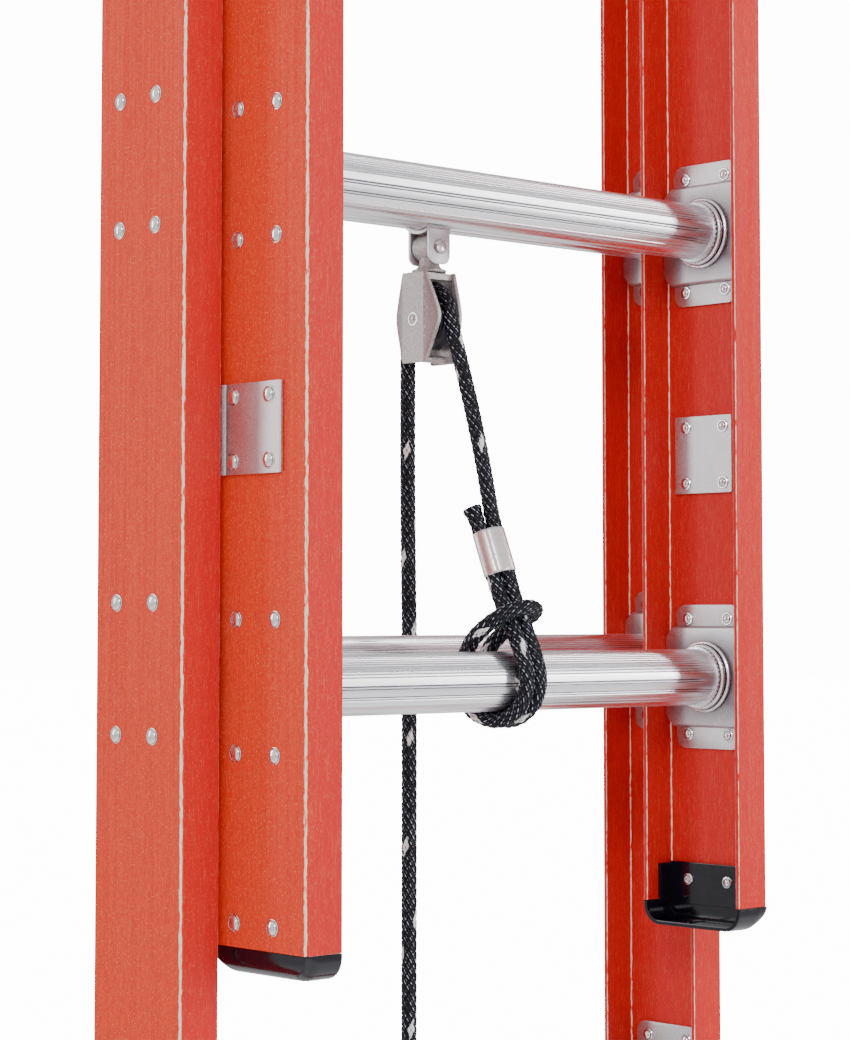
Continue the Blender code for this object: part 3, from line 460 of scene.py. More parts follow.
def plait(tree, around, along):
    """The plait's pattern: a wave along the threads of one set of strands, and how proud each strand is."""

    def run(operation, *values):
        return maths(tree, operation, *values)

    def chosen(choice, first, second):
        """The first value where choice is 1, the second where it is 0."""
        other = run("SUBTRACT", 1.0, choice)
        return run("ADD", run("MULTIPLY", first, choice), run("MULTIPLY", second, other))

    def hump(value):
        return run("SINE", run("MULTIPLY", value, math.pi))

    a, b = run("ADD", around, along), run("SUBTRACT", around, along)
    odd = run("FLOORED_MODULO", run("ADD", run("FLOOR", a), run("FLOOR", b)), 2.0)
    even = run("SUBTRACT", 1.0, odd)
    in_a, in_b = run("FRACT", a), run("FRACT", b)
    rise = run("MULTIPLY", hump(chosen(even, in_a, in_b)), hump(chosen(even, in_b, in_a)))
    return run("SINE", run("MULTIPLY", a, 4 * math.pi)), rise


def tracer(tree, turn, along, patches):
    """Distance from the nearest white lozenge of the tracer thread, ragged by the patches."""

    def run(operation, *values):
        return maths(tree, operation, *values)

    step = run("DIVIDE", along, TRACER_STEP)
    ahead = run("MULTIPLY", run("SUBTRACT", run("FRACT", step), 0.5), TRACER_STEP)
    centre = run("MULTIPLY_ADD", run("FLOOR", step), 0.37, run("MULTIPLY", ahead, 0.045))
    aside = run("SUBTRACT", run("FRACT", run("SUBTRACT", turn, centre)), 0.5)
    reach = run("ADD", run("DIVIDE", run("ABSOLUTE", aside), 0.085), run("ABSOLUTE", ahead))
    return run("MULTIPLY_ADD", patches, 0.5, reach)


def braid():
    """Plaited rope: two sets of strands that cross, thread lines on each painted as blue-grey highlights on
    the strands' crowns, painted shade between the strands, and one white tracer.
    """
    look, tree, shader = material("black_rope", (0.01, 0.01, 0.016), 0.55, specular=0.22)
    uv = added(tree, "UVMap", uv_map="rope")
    turn, along, _ = added(tree, "SeparateXYZ", ((0, uv.outputs[0]),)).outputs
    wave, rise = plait(tree, maths(tree, "MULTIPLY", turn, float(STRANDS)), along)
    patches = noise(tree, (420, 420, 420), 2)
    # Painted highlight: blue-grey dashes along the threads where a strand's crown is proudest.
    painted_highlight = maths(tree, "MULTIPLY", spread(tree, wave, 0.45, 0.95), spread(tree, rise, 0.25, 0.70))
    painted_highlight = maths(tree, "MULTIPLY", painted_highlight, spread(tree, patches, 0.40, 0.60))
    # Painted shade: the rope is darkest between the strands and a little lighter on their crowns.
    colour = mix(tree, spread(tree, rise, 0.05, 0.6), (0.0005, 0.0005, 0.001), (0.004, 0.004, 0.010))
    colour = mix(tree, maths(tree, "MULTIPLY", painted_highlight, 0.95), colour, (0.70, 0.76, 0.95))
    white = spread(tree, tracer(tree, turn, along, patches), 1.30, 1.10)
    white = maths(tree, "MULTIPLY", white, spread(tree, rise, 0.02, 0.12))
    put(tree, shader.inputs["Base Color"], mix(tree, white, colour, (1.0, 0.98, 0.95)))
    bumped(tree, shader, maths(tree, "MULTIPLY_ADD", wave, 0.12, rise), 0.5 * MM, 0.6)
    return look


LOOKS = {
    "fibreglass": fibreglass(),
    "rung_aluminium": extruded_aluminium(),
    "plate_aluminium": sheet_aluminium(),
    "galvanised_steel": cast_metal(),
    "plated_steel": plain_metal("plated_steel", (0.80, 0.79, 0.80), 0.26),
    "rivet": plain_metal("rivet_aluminium", (0.97, 0.96, 0.97), 0.13),
    "foot_steel": plain_metal("foot_steel", (0.60, 0.60, 0.63), 0.36),
    "black_moulding": black_moulding(),
    "pad_rubber": matt_black("pad_rubber", (0.022, 0.022, 0.023), 0.78),
    "sheave_plastic": matt_black("sheave_plastic", (0.010, 0.009, 0.016), 0.42),
    "ferrule_aluminium": plain_metal("ferrule_aluminium", (0.92, 0.83, 0.83), 0.34),
    "black_rope": braid(),
}


# ---- placing

def linked(name, data):
    obj = bpy.data.objects.new(name, data)
    bpy.context.scene.collection.objects.link(obj)
    return obj


def placed(name, mesh, look, body, stands_for=(), smooth=32):
    """A piece of one mesh and one look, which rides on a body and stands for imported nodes."""
    mesh.materials.clear()
    mesh.materials.append(LOOKS[look])
    mesh.shade_smooth()
    mesh.set_sharp_from_angle(angle=math.radians(smooth))
    obj = linked(name, mesh)
    if body:
        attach(obj, body)
    if stands_for:
        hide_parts(*stands_for)
    return obj


def mesh_of(cage):
    bmesh.ops.recalc_face_normals(cage, faces=cage.faces)
    mesh = bpy.data.meshes.new("mesh")
    cage.to_mesh(mesh)
    cage.free()
    return mesh


def evened(obj, keep_sharp=True):
    """Keeps broad flat faces flat where they run into rounded edges."""
    even = obj.modifiers.new("Even", "WEIGHTED_NORMAL")
    even.keep_sharp = keep_sharp
    even.weight = 100


def single(name, build, look, body, stands_for=(), smooth=32):
    """One piece, from a function that adds its shape to a cage."""
    cage = bmesh.new()
    build(cage)
    return placed(name, mesh_of(cage), look, body, stands_for, smooth)


def pair(name, build, look, body, stands_for=(), smooth=32):
    """The right-hand piece and its mirror image; stands_for and body may hold a side in braces."""
    for side, sign in SIDES:
        cage = bmesh.new()
        build(cage)
        if sign < 0:
            bmesh.ops.scale(cage, vec=(-1, 1, 1), verts=cage.verts)
        nodes = [node.format(side) for node in stands_for]
        evened(placed(f"{name}_{side}", mesh_of(cage), look, body.format(side), nodes, smooth))


def kept(node, look, bevel):
    """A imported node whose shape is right: rounded edges and a finished material."""
    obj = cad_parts[node]
    obj.data.materials.clear()
    obj.data.materials.append(LOOKS[look])
    weld = obj.modifiers.new("Weld", "WELD")
    weld.merge_threshold = 0.00001
    edge = obj.modifiers.new("Edge", "BEVEL")
    edge.width = bevel
    edge.segments = 2
    edge.limit_method = "ANGLE"
    edge.angle_limit = math.radians(40)
    edge.harden_normals = False
    obj.data.shade_smooth()
    evened(obj, False)


# ---- camera, light, floor

CAMERA_PLACE = (-1.2056, -1.2848, 1.7461)
CAMERA_TILT = 3.68
CAMERA_TURN = -42.37
LENS = 94.16
LENS_SHIFT = -0.0769
AIM = (0, 0, 1.8)
SKY = 0.82
WHITE = 14.0
FLOOR_REACH = 60.0
LIGHTS = (
    ("key", (-2.6, -1.9, 3.3), (0.8, 0.9), 38),
    ("rear window", (-3.0, 3.2, 2.6), (0.7, 2.2), 26),
    ("front", (0.4, -3.6, 2.2), (1.2, 2.4), 32),
    ("sheen", (3.0, -2.7, 2.5), (0.5, 2.6), 60),
    ("overhead", (2.4, 0.4, 4.9), (0.7, 1.6), 60),
    ("back", (1.6, 3.2, 3.0), (2.0, 2.4), 30),
)


def make_camera():
    """The photograph's viewpoint; the shift stands for its framing."""
    data = bpy.data.cameras.new("camera")
    data.lens = LENS
    data.sensor_width = 36.0
    data.shift_y = LENS_SHIFT
    data.clip_start = 0.05
    data.clip_end = 200
    camera = linked("camera", data)
    camera.location = CAMERA_PLACE
    camera.rotation_euler = (math.radians(90 + CAMERA_TILT), 0, math.radians(CAMERA_TURN))
    bpy.context.scene.camera = camera


def add_light(name, place, size, power):
    data = bpy.data.lights.new(name, "AREA")
    data.shape = "RECTANGLE"
    data.size, data.size_y = size
    data.energy = power
    light = linked(name, data)
    light.location = place
    light.rotation_euler = (Vector(AIM) - Vector(place)).to_track_quat("-Z", "Y").to_euler()


def camera_ray(tree):
    """1 where the camera sees the surface directly, and 0 in reflections and bounces."""
    return added(tree, "LightPath").outputs["Is Camera Ray"]


def floor_look():
    """Pale near the ladder, and as white as the sky far from it."""
    look, tree, shader = material("floor", (0.93, 0.93, 0.93), 0.9, specular=0.1)
    grain = noise(tree, (3, 3, 3), 2)
    put(tree, shader.inputs["Base Color"], mix(tree, grain, (0.92, 0.92, 0.92), (0.95, 0.95, 0.95)))
    place = added(tree, "NewGeometry").outputs["Position"]
    distance = added(tree, "VectorMath", ((0, place),), operation="LENGTH")
    far = spread(tree, distance.outputs["Value"], 1.5, 7.0)
    put(tree, shader.inputs["Emission Color"], (1.0, 1.0, 1.0))
    glow = maths(tree, "MULTIPLY", maths(tree, "MULTIPLY", far, camera_ray(tree)), WHITE)
    put(tree, shader.inputs["Emission Strength"], glow)
    return look


def make_sky():
    """Soft light from above, and plain white where the camera looks past the ladder."""
    world = bpy.data.worlds.new("studio")
    bpy.context.scene.world = world
    world.use_nodes = True
    tree = world.node_tree
    background = tree.nodes["Background"]
    way = added(tree, "TexCoord").outputs["Generated"]
    across, _, up = added(tree, "SeparateXYZ", ((0, way),)).outputs
    sky = mix(tree, spread(tree, up, -0.5, 0.45), (0.30, 0.30, 0.31), (1.0, 1.0, 1.0))
    sky = stained(tree, sky, across, -0.2, 0.8, 0.35, (0.45, 0.45, 0.47))
    sky = stained(tree, sky, across, -0.35, -0.85, 1, (1.15, 1.15, 1.15))
    seen = camera_ray(tree)
    put(tree, background.inputs[0], mix(tree, seen, sky, (1.0, 1.0, 1.0)))
    put(tree, background.inputs[1], maths(tree, "MULTIPLY_ADD", seen, WHITE - SKY, SKY))


def make_studio():
    make_sky()
    for light in LIGHTS:
        add_light(*light)
    mesh = bpy.data.meshes.new("floor")
    corners = [(x * FLOOR_REACH, y * FLOOR_REACH, 0) for x, y in ((-1, -1), (1, -1), (1, 1), (-1, 1))]
    mesh.from_pydata(corners, [], [(0, 1, 2, 3)])
    mesh.materials.append(floor_look())
    floor = linked("floor", mesh)
    floor.location.z = -0.2 * MM


# ---- rope

FERRULE_LOW = (4.0, 52.0, 68.0)
FERRULE_HIGH = (4.0, 63.5, 96.0)
STRAND_SIDE = (3.7, -3.4, 0.0)

EYE_ROUTE = [
    (-0.5, 47, 52), (-1.5, 37, 36), (-1.8, 27.5, 19), (-1.5, 22.4, 3),
    (-2.5, 25.3, -12), (-5, 35.5, -22), (-8, 48, -24.3), (-11, 62.5, -18.6), (-12.5, 70, -5),
    (-13.5, 70, 7), (-15, 63.5, 18.5), (-17.5, 54, 27.5), (-17.5, 44, 34.5), (-13, 35.5, 41),
    (-4, 30.5, 45.5), (7, 29.5, 47), (17, 33.5, 45.5), (21, 41, 42), (17.5, 49.5, 37),
    (11, 56.5, 31), (6.5, 63.5, 22), (4.5, 69, 10), (3.5, 70.8, -3), (3.2, 65, -16),
    (3.5, 52, -24), (5, 37.5, -23), (7.5, 26.1, -13.7), (9, 22.2, 0), (9.2, 25, 13),
    (8.8, 34, 33), (8, 43, 52),
]
TAIL_ROUTE = [(-0.6, 70.0, 104), (-1.8, 72.8, 111)]
LIFT_ROUTE = [(7.4, 64, 108), (6.6, 70.5, 138), (5.4, 79.8, 175), (3.6, 90.3, 212)]

COIL_CENTRE = (-100.0 * MM, 0.0)
COIL_OUTER = 54.1 * MM
COIL_INNER = 44.6 * MM
COIL_LAYERS = (5.6 * MM, 14.9 * MM, 24.2 * MM)
COIL_ENTRY = 100.0
COIL_STEPS = 16
FERRULE_HALVES = (10.6 * MM, 6.9 * MM)
SEAM_ANGLE = 262
SEAM_WIDTH = 2.6
SEAM_DEPTH = 0.10


def fly_points(points):
    """Points in millimetres from the fly's front and its lowest rung."""
    return [Vector((x * MM, FLY.front + y * MM, FIRST + z * MM)) for x, y, z in points]


def ferrule_frame():
    """The ferrule's ends, its run between them, and the way from its middle to a strand, in millimetres."""
    low, high = Vector(FERRULE_LOW), Vector(FERRULE_HIGH)
    run = (high - low).normalized()
    wide = Vector(STRAND_SIDE)
    return low, high, run, wide - run * wide.dot(run)


def ferrule_mouth(end, side, out):
    """A point of a strand's route beyond the ferrule's low end 0 or high end 1; side is 1 or -1."""
    low, high, run, wide = ferrule_frame()
    return (low - run * out if end == 0 else high + run * out) + wide * side


def haul_points():
    """The hauling strand from behind the sheave to the ground, as part of the rope's whole route."""
    first, ground = FIRST / MM, ROPE_SKIN / MM + 0.2
    route = [(3.0, -3.0, first + 180), (5.0, -0.8, first + 130), (6.6, 0, first + 60), (7.5, 0.4, first)]
    route += [(7.5, 0.6, z) for z in (first - 300, first - 700, first - 1100, 300, 120)]
    route += [(5.0, 0.4, 62), (-5.0, 0, 24), (-25.0, -1.5, ground + 1.5), (-48.0, -3.5, ground)]
    route += [(-66.0, -5.5, ground)]
    haul_y = FLY.front + 142.6 * MM
    start = (AXLE.x, BASE.rung_y + ROPE_WRAP, AXLE.z - WRAP_DROP)
    return [start, *[(x * MM, haul_y + y * MM, z * MM) for x, y, z in route]]


def coil_point(radius, angle, height):
    """A point of the coil, at an angle in degrees about its middle."""
    x, y = COIL_CENTRE
    return (x + radius * math.cos(math.radians(angle)), y + radius * math.sin(math.radians(angle)), height)


def coil_points():
    """Three turns up the outside of the coil and two and a half down its inside."""
    points = []
    columns = [COIL_OUTER] * 3 + [COIL_INNER] * 3
    layers = [*COIL_LAYERS, *reversed(COIL_LAYERS)]
    for step in range(5 * COIL_STEPS + COIL_STEPS // 2):
        turn, share = divmod(step / COIL_STEPS, 1.0)
        turn = int(turn)
        change = min(1.0, max(0.0, (share - 0.70) / 0.30))
        change = change * change * (3 - 2 * change)
        after = min(turn + 1, 5)
        radius = columns[turn] + (columns[after] - columns[turn]) * change
        height = layers[turn] + (layers[after] - layers[turn]) * change
        points.append(coil_point(radius, COIL_ENTRY + 360 * step / COIL_STEPS, height))
    return points


def end_points():
    """The rope's last stretch: in from the coil's inner turn to the knot at its middle."""
    shares = [step / 8 for step in range(1, 9)]
    return [coil_point(COIL_INNER + (15 * MM - COIL_INNER) * share ** 0.8, COIL_ENTRY + 180 + 200 * share,
                       COIL_LAYERS[0]) for share in shares]


def rope_ring(here, side, up, travelled, sides, wider):
    """A ring of points round the rope, proud where a strand crosses over another."""
    ring = []
    for k in range(sides):
        share = k / sides
        a = (share * STRANDS + travelled / PLAIT) % 1.0
        b = (share * STRANDS - travelled / PLAIT) % 1.0
        crown = math.sin(math.pi * a) * (0.5 + 0.5 * math.sin(math.pi * b) ** 0.6)
        radius = (ROPE + ROPE_DIP + ROPE_CROWN * crown) * wider
        angle = 2 * math.pi * share
        ring.append(here + side * (radius * math.cos(angle)) + up * (radius * math.sin(angle)))
    return ring


def rope_piece(name, path, start, body, flare=False, sides=ROPE_SIDES, pairs=None):
    """A plaited tube along a path; start is how far along the rope its pattern begins."""
    cage = bmesh.new()
    distances = [start]
    for here, after in zip(path, path[1:]):
        distances.append(distances[-1] + (after - here).length)
    rings = []
    for i, (here, (side, up)) in enumerate(zip(path, pairs or frames(path))):
        to_end = (len(path) - 1 - i) / 8
        wider = 1 + (0.22 * math.exp(-to_end * to_end) if flare else 0)
        rings.append(rope_ring(here, side, up, distances[i], sides, wider))
    made = add_loft(cage, rings)
    layer = cage.loops.layers.uv.new("rope")
    index = {vert: (i, k) for i, ring in enumerate(made) for k, vert in enumerate(ring)}
    for face in cage.faces:
        spots = [index[loop.vert] for loop in face.loops]
        columns = [k for _, k in spots]
        wraps = len(spots) == 4 and min(columns) == 0 and max(columns) == sides - 1
        for loop, (i, k) in zip(face.loops, spots):
            share = (k + sides if wraps and k == 0 else k) / sides
            loop[layer].uv = (share, distances[i] / PLAIT)
    mesh = bpy.data.meshes.new(name)
    cage.to_mesh(mesh)
    cage.free()
    return placed(name, mesh, "black_rope", body, smooth=80)


def make_rope():
    """One rope from the ferrule over the sheave, down behind the rungs and into its coil."""
    wrap = [(AXLE.x, y, z) for y, z in arc((BASE.rung_y, AXLE.z), ROPE_WRAP, 180, 0, 12)]
    lift = fly_points([ferrule_mouth(1, 1, -3.0), *LIFT_ROUTE])
    haul = haul_points()
    whole = smooth_route([*lift, *wrap, *haul, *coil_points(), *end_points()], ROPE_STEP)
    pairs = frames(whole)

    def nearest(place):
        return min(range(len(whole)), key=lambda i: (whole[i] - Vector(place)).length)

    first, last = nearest(wrap[0]), nearest(haul[0])
    lifting = rope_piece("lift_rope", whole[:first + 1], 0.0, None, pairs=pairs[:first + 1])
    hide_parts("lift_strand")
    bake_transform(lifting)
    over = rope_piece("rope_on_sheave", whole[first:last + 1], length_of(whole[:first + 1]), "pulley_block",
                      pairs=pairs[first:last + 1])
    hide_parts("rope_over_sheave")
    path = whole[last:]
    hauling = rope_piece("hauling_rope", path, length_of(whole[:last + 1]), None, pairs=pairs[last:])
    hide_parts("hauling_strand", "rope_coil")
    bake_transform(hauling)
    knot, tie = make_knot(), make_tie()


def make_knot():
    """A stopper knot: the rope passed through its own loop."""
    centre = middle("rope_end_knot")
    size, rise, level = 3.3 * MM, 4.2 * MM, 9.9 * MM
    path = []
    for i in range(2, 95):
        t = 2 * math.pi * i / 96
        across = centre.x + size * (math.sin(t) + 2 * math.sin(2 * t))
        along = centre.y + size * (math.cos(t) - 2 * math.cos(2 * t))
        path.append(Vector((across, along, level - rise * math.sin(3 * t))))
    knot = rope_piece("stopper_knot", path, 0.0, "base", sides=20)
    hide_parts("rope_end_knot")
    return knot


def make_tie():
    """A strap round the coil's turns that holds them together."""
    angle = COIL_ENTRY + 150
    run = Vector(coil_point(1, angle + 90, 0)) - Vector((*COIL_CENTRE, 0))
    low, high = COIL_INNER - ROPE_SKIN - 0.2 * MM, COIL_OUTER + ROPE_SKIN + 0.2 * MM
    top = COIL_LAYERS[2] + ROPE_SKIN + 0.2 * MM
    outer = rectangle(low - MM, 0.3 * MM, high + MM, top + MM, 4.6 * MM, 6)
    inner = rectangle(low, 1.2 * MM, high, top, 3.8 * MM, 6)
    half = 7 * MM
    rings = []
    for outline, offset in ((outer, -half), (outer, half), (inner, half), (inner, -half)):
        rings.append([Vector(coil_point(u, angle, v)) + run * offset for u, v in outline])
    return single("coil_tie", lambda cage: add_loft(cage, rings, cyclic=True), "pad_rubber", "base")


def make_eye():
    route = fly_points([ferrule_mouth(0, -1, -6.0), *EYE_ROUTE, ferrule_mouth(0, 1, -6.0)])
    eye = rope_piece("rope_eye", smooth_route(route, 0.8 * MM), 0.0, "fly")
    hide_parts("rope_eye_loop")
    route = fly_points([ferrule_mouth(1, -1, -6.0), *TAIL_ROUTE])
    tail = rope_piece("rope_cut_end", smooth_route(route, 0.8 * MM), 0.021, "fly", flare=True)
    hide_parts("rope_tail")
    single("rope_ferrule", add_ferrule, "ferrule_aluminium", "fly", ["ferrule"])


def add_ferrule(cage):
    """An oval crimped sleeve with rolled ends and a seam pressed down its side."""
    low, high, run, wide = ferrule_frame()
    length = (high - low).length * MM
    low, wide = fly_points([low])[0], wide.normalized()
    flat = run.cross(wide)
    profile = [(0.78, 0.02), (0.93, 0.0), (0.99, 0.02), (1.0, 0.05)]
    profile += [(scale, 1 - level) for scale, level in reversed(profile)]
    rings = []
    for scale, level in profile:
        ring = []
        for i, (c, s) in enumerate(circle(96)):
            from_seam = (360 * i / 96 - SEAM_ANGLE) / SEAM_WIDTH
            reach = scale - SEAM_DEPTH * math.exp(-from_seam ** 2)
            ring.append(low + run * (length * level) + wide * (FERRULE_HALVES[0] * reach * c)
                        + flat * (FERRULE_HALVES[1] * reach * s))
        rings.append(ring)
    add_loft(cage, rings)


# ---- rails

def rail_mesh(section, sign):
    """A channel whose points say how worn they are and how far they lie on a flange."""
    lip, heel, inner = 0.9 * MM, 2.6 * MM, 1.4 * MM
    lows, highs = (section.front, section.front + WALL), (section.back, section.back - WALL)
    outline = fan([
        (section.edge, lows[0], lip), (section.half, lows[0], heel), (section.half, highs[0], heel),
        (section.edge, highs[0], lip), (section.edge, highs[1], lip), (section.web, highs[1], inner),
        (section.web, lows[1], inner), (section.edge, lows[1], lip),
    ], 6)
    cage = bmesh.new()
    levels = (section.bottom, section.top)
    add_loft(cage, [[(sign * x, y, z) for x, y, _ in outline] for z in levels])
    mesh = mesh_of(cage)
    worn = mesh.attributes.new("worn", "FLOAT", "POINT")
    flange = mesh.attributes.new("flange", "FLOAT", "POINT")
    for i, (x, _, wear) in enumerate(outline * 2):
        worn.data[i].value = wear
        # flange is 1 on the flanges and on the web's inner face; the fibreglass paints these a darker red,
        # partly as painted shade.
        flange.data[i].value = min(1.0, max(0.0, (section.web - x + 2.2 * MM) / (1.6 * MM)))
    return mesh


def make_rails():
    for section in (BASE, FLY):
        for side, sign in SIDES:
            node = f"{section.name}_rail_{side}"
            rail = placed(f"{section.name}_side_rail_{side}", rail_mesh(section, sign), "fibreglass",
                          section.name, [node], 25)
            evened(rail)


# ---- rungs

# Flutes in a rung's front half: degrees from its front, depth in mm, and half its width in degrees.
GROOVES = [(14 + 5.6 * i, 0.42, 1.5) for i in range(14)]
GROOVES += [(-3, 0.75, 2.2), (-8, 0.60, 1.8), (-24, 0.70, 2.0), (-29, 0.55, 1.7)]
GROOVES += [(-44, 0.30, 1.4), (-52, 0.30, 1.4), (-72, 0.42, 1.7)]


def flute_angles():
    """(angle, depth) round a rung, in degrees from its front towards its top, and in metres."""
    points = []
    both = GROOVES + [(180 - angle, depth, width) for angle, depth, width in GROOVES]
    for angle, depth, width in both:
        points += [(angle - width, 0.0), (angle, depth * MM), (angle + width, 0.0)]
    points.sort()
    filled = []
    for (angle, depth), (after, _) in zip(points, points[1:] + [(points[0][0] + 360, 0)]):
        filled.append((angle, depth))
        extra = int((after - angle) // 6)
        filled += [(angle + (after - angle) * (i + 1) / (extra + 1), 0.0) for i in range(extra)]
    return filled


def bead(middle, half, radius, rise):
    """Rows across a raised ring: distance from the plate, radius, flute share and painted shade."""
    turns = [math.radians(a) for a in range(0, 181, 30)]
    shade_paint = [0.9, 0, 0, 0, 0, 0, 0.9]
    return [(middle + half * math.cos(a), radius + rise * math.sin(a), 0, g) for a, g in zip(turns, shade_paint)]


# Rows along a rung's end: distance from the plate and radius in mm, flute share, and painted shade at the
# feet of the knurled ring and the beads.
RUNG_ROWS = [(46.0, 19.0, 1.0, 0), (27.0, 19.0, 0.9, 0), (20.0, 18.9, 0.35, 0), (9.9, 19.0, 0.25, 0.2)]
RUNG_ROWS += [(9.4, 19.0, 0.2, 1), (9.2, 20.2, 0, 0), (7.6, 20.3, 0, 0), (7.2, 19.9, 0, 1)]
RUNG_ROWS += [*bead(4.9, 2.1, 20.4, 2.1), *bead(1.7, 1.5, 22.6, 1.8), (-2.0, 22.4, 0, 1)]
KNURLS = 84
KNURL_ROWS = ((9.4, 19.6, 0), (9.0, 20.5, 0.5), (7.9, 20.6, 0.5), (7.4, 19.6, 0))


def rung_mesh(section):
    """A fluted rung, smooth at its ends, with a knurled ring and two beads against each plate."""
    face = section.web - GAP - PAD
    levels = [(face - d * MM, radius * MM, share, painted_row_shade) for d, radius, share, painted_row_shade in RUNG_ROWS]
    levels = [(-x, radius, share, painted_row_shade) for x, radius, share, painted_row_shade in reversed(levels)] + levels
    rings, worn = [], []
    for x, radius, share, painted_row_shade in levels:
        ring = []
        for angle, depth in flute_angles():
            turn = math.radians(angle)
            reach = radius - depth * share
            ring.append((x, -reach * math.cos(turn), reach * math.sin(turn)))
            # Painted shade: the flutes darken with their depth, and the feet of the rings darken by the rows'
            # last column.
            worn.append(max(painted_row_shade, min(1.0, depth / (0.55 * MM)) * share))
        rings.append(ring)
    cage = bmesh.new()
    add_loft(cage, rings)
    for sign in (-1, 1):
        rings = []
        for d, radius, knurl in KNURL_ROWS:
            x = sign * (face - d * MM)
            reaches = [(radius + knurl * (i % 2)) * MM for i in range(KNURLS)]
            rings.append([(x, reach * c, reach * s) for reach, (c, s) in zip(reaches, circle(KNURLS))])
            # Painted shade in the knurl's valleys.
            worn += [0.5 if knurl and i % 2 == 0 else 0.0 for i in range(KNURLS)]
        add_loft(cage, rings)
    mesh = mesh_of(cage)
    groove = mesh.attributes.new("groove", "FLOAT", "POINT")
    groove.data.foreach_set("value", worn)
    return mesh


PLATE_POINTS = 120


def around(outline_corners, steps, count):
    """An outline of (u, v, radius) corners read at equal angles about its middle."""
    outline = rounded(outline_corners, steps)
    points = []
    for c, s in circle(count):
        ray = Vector((c, s))
        best = 0.0
        for (au, av), (bu, bv) in zip(outline, outline[1:] + outline[:1]):
            du, dv = bu - au, bv - av
            cross = ray.x * dv - ray.y * du
            if abs(cross) < 1e-12:
                continue
            reach = (au * dv - av * du) / cross
            along = (au * ray.y - av * ray.x) / cross
            if reach > 0 and -1e-6 <= along <= 1 + 1e-6:
                best = max(best, reach)
        points.append((ray.x * best, ray.y * best))
    return points


def add_plate(cage, section):
    """The pressed plate at a rung's end, about the rung's axis: raised middle, step and two tabs."""
    back = section.web - GAP
    front_edge = WALL + GAP - SETBACK
    back_edge = section.back - section.front - WALL - GAP - SETBACK
    foot, blunt, soft, cut = 0.6 * MM, 2.5 * MM, 1.5 * MM, 6.0 * MM

    def pad(drawn_in, half):
        low, high, half = front_edge + drawn_in * MM, back_edge - drawn_in * MM, half * MM
        return around([
            (low, -half, blunt), (high - cut, -half, soft), (high, -half + cut, soft),
            (high, half - cut, soft), (high - cut, half, soft), (low, half, blunt),
        ], 3, PLATE_POINTS)

    hole = arc((0, 0), 22.0 * MM, 0, 360 * (PLATE_POINTS - 1) / PLATE_POINTS, PLATE_POINTS - 1)
    stack = [
        (pad(0, 35.0), foot), (pad(0, 34.6), TAB + foot), (pad(0, 33.6), PAD - 0.9 * MM),
        (pad(0.3, 33.0), PAD - 0.2 * MM), (pad(1.0, 32.2), PAD), (hole, PAD), (hole, foot),
    ]
    add_loft(cage, [[(back - height, y, z) for y, z in outline] for outline, height in stack], cyclic=True)
    for low, high, below, above in ((-49.0, -31.0, 7, 0.6), (31.0, 49.0, 0.6, 7)):
        tab = [(-28.6, low, below), (28.6, low, below), (28.6, high, above), (-28.6, high, above)]
        add_slab(cage, rounded(in_metres(tab), 5), back - TAB, back, "X", 0.35 * MM)
    scratch = (back - TAB - 0.05 * MM, -12.5 * MM, 40.6 * MM)
    add_box(cage, scratch, (scratch[0] + 0.15 * MM, -0.5 * MM, 41.0 * MM), 0)


def plate_mesh(section):
    """Both ends' plates, with painted shade at the foot of the raised middle and round its hole."""
    cage = bmesh.new()
    add_plate(cage, section)
    other = cage.copy()
    bmesh.ops.scale(other, vec=(-1, 1, 1), verts=other.verts)
    mesh = bpy.data.meshes.new("plate")
    other.to_mesh(mesh)
    other.free()
    cage.from_mesh(mesh)
    each = len(cage.verts) // 2
    mesh = mesh_of(cage)
    groove = mesh.attributes.new("groove", "FLOAT", "POINT")
    for start in (0, each):
        # Painted shade: the ring at the foot of the step and the ring round the hole.
        for ring, shade_paint in ((1, 0.6), (5, 0.8)):
            for i in range(PLATE_POINTS):
                groove.data[start + ring * PLATE_POINTS + i].value = shade_paint
    return mesh


def make_rungs():
    for section in (BASE, FLY):
        tube, plates = rung_mesh(section), plate_mesh(section)
        for i, level in enumerate(section.rungs):
            node = f"{section.name}_rung_{i + 1}"
            for name, mesh, look, stands_for, smooth in (
                ("fluted_rung", tube, "rung_aluminium", [node], 24),
                ("rung_plates", plates, "plate_aluminium", [], 30),
            ):
                obj = placed(f"{section.name}_{name}_{i + 1}", mesh, look, None, [], smooth)
                obj.location = (0, section.rung_y, level)
                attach(obj, section.name)
                if stands_for:
                    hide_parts(*stands_for)


# ---- rivets

def crown(radius, base, rise):
    """The rounded top of a rivet's head, in millimetres."""
    turns = [math.radians(a) for a in range(15, 91, 15)]
    return [(radius * math.cos(turn), base + rise * math.sin(turn)) for turn in turns]


DOME = in_metres([(5.3, 0), (5.3, 0.3), (5.0, 0.55), (4.6, 0.6), *crown(4.6, 0.6, 1.8)])
SET_HEAD = in_metres([(4.5, 0), (4.5, 0.6), (4.1, 0.95), (3.1, 0.95), *crown(3.1, 0.95, 1.5)])
RING_HEAD = in_metres([(4.2, 0), (4.2, 0.6), (3.7, 1.2), (2.6, 1.3), (2.2, 0.9), (1.9, 0.2), (0.9, 0.2),
                       (0.8, 0.9), (0, 1.0)])


def rivet_pair(name, body, places, inside, outside, inner_head=SET_HEAD):
    """Rivets along X at (y, z) places, a dome outside and a set head inside, on both sides."""

    def build(cage):
        cage.verts.layers.float.new("groove")
        for y, z in places:
            # Painted shade on the ring at each head's foot and on its step.
            add_turned(cage, DOME, (outside, y, z), "X", 20, 1, (0, 3))
            add_turned(cage, inner_head, (inside, y, z), "X", 18, -1, (0, 3))

    pair(name, build, "rivet", body)


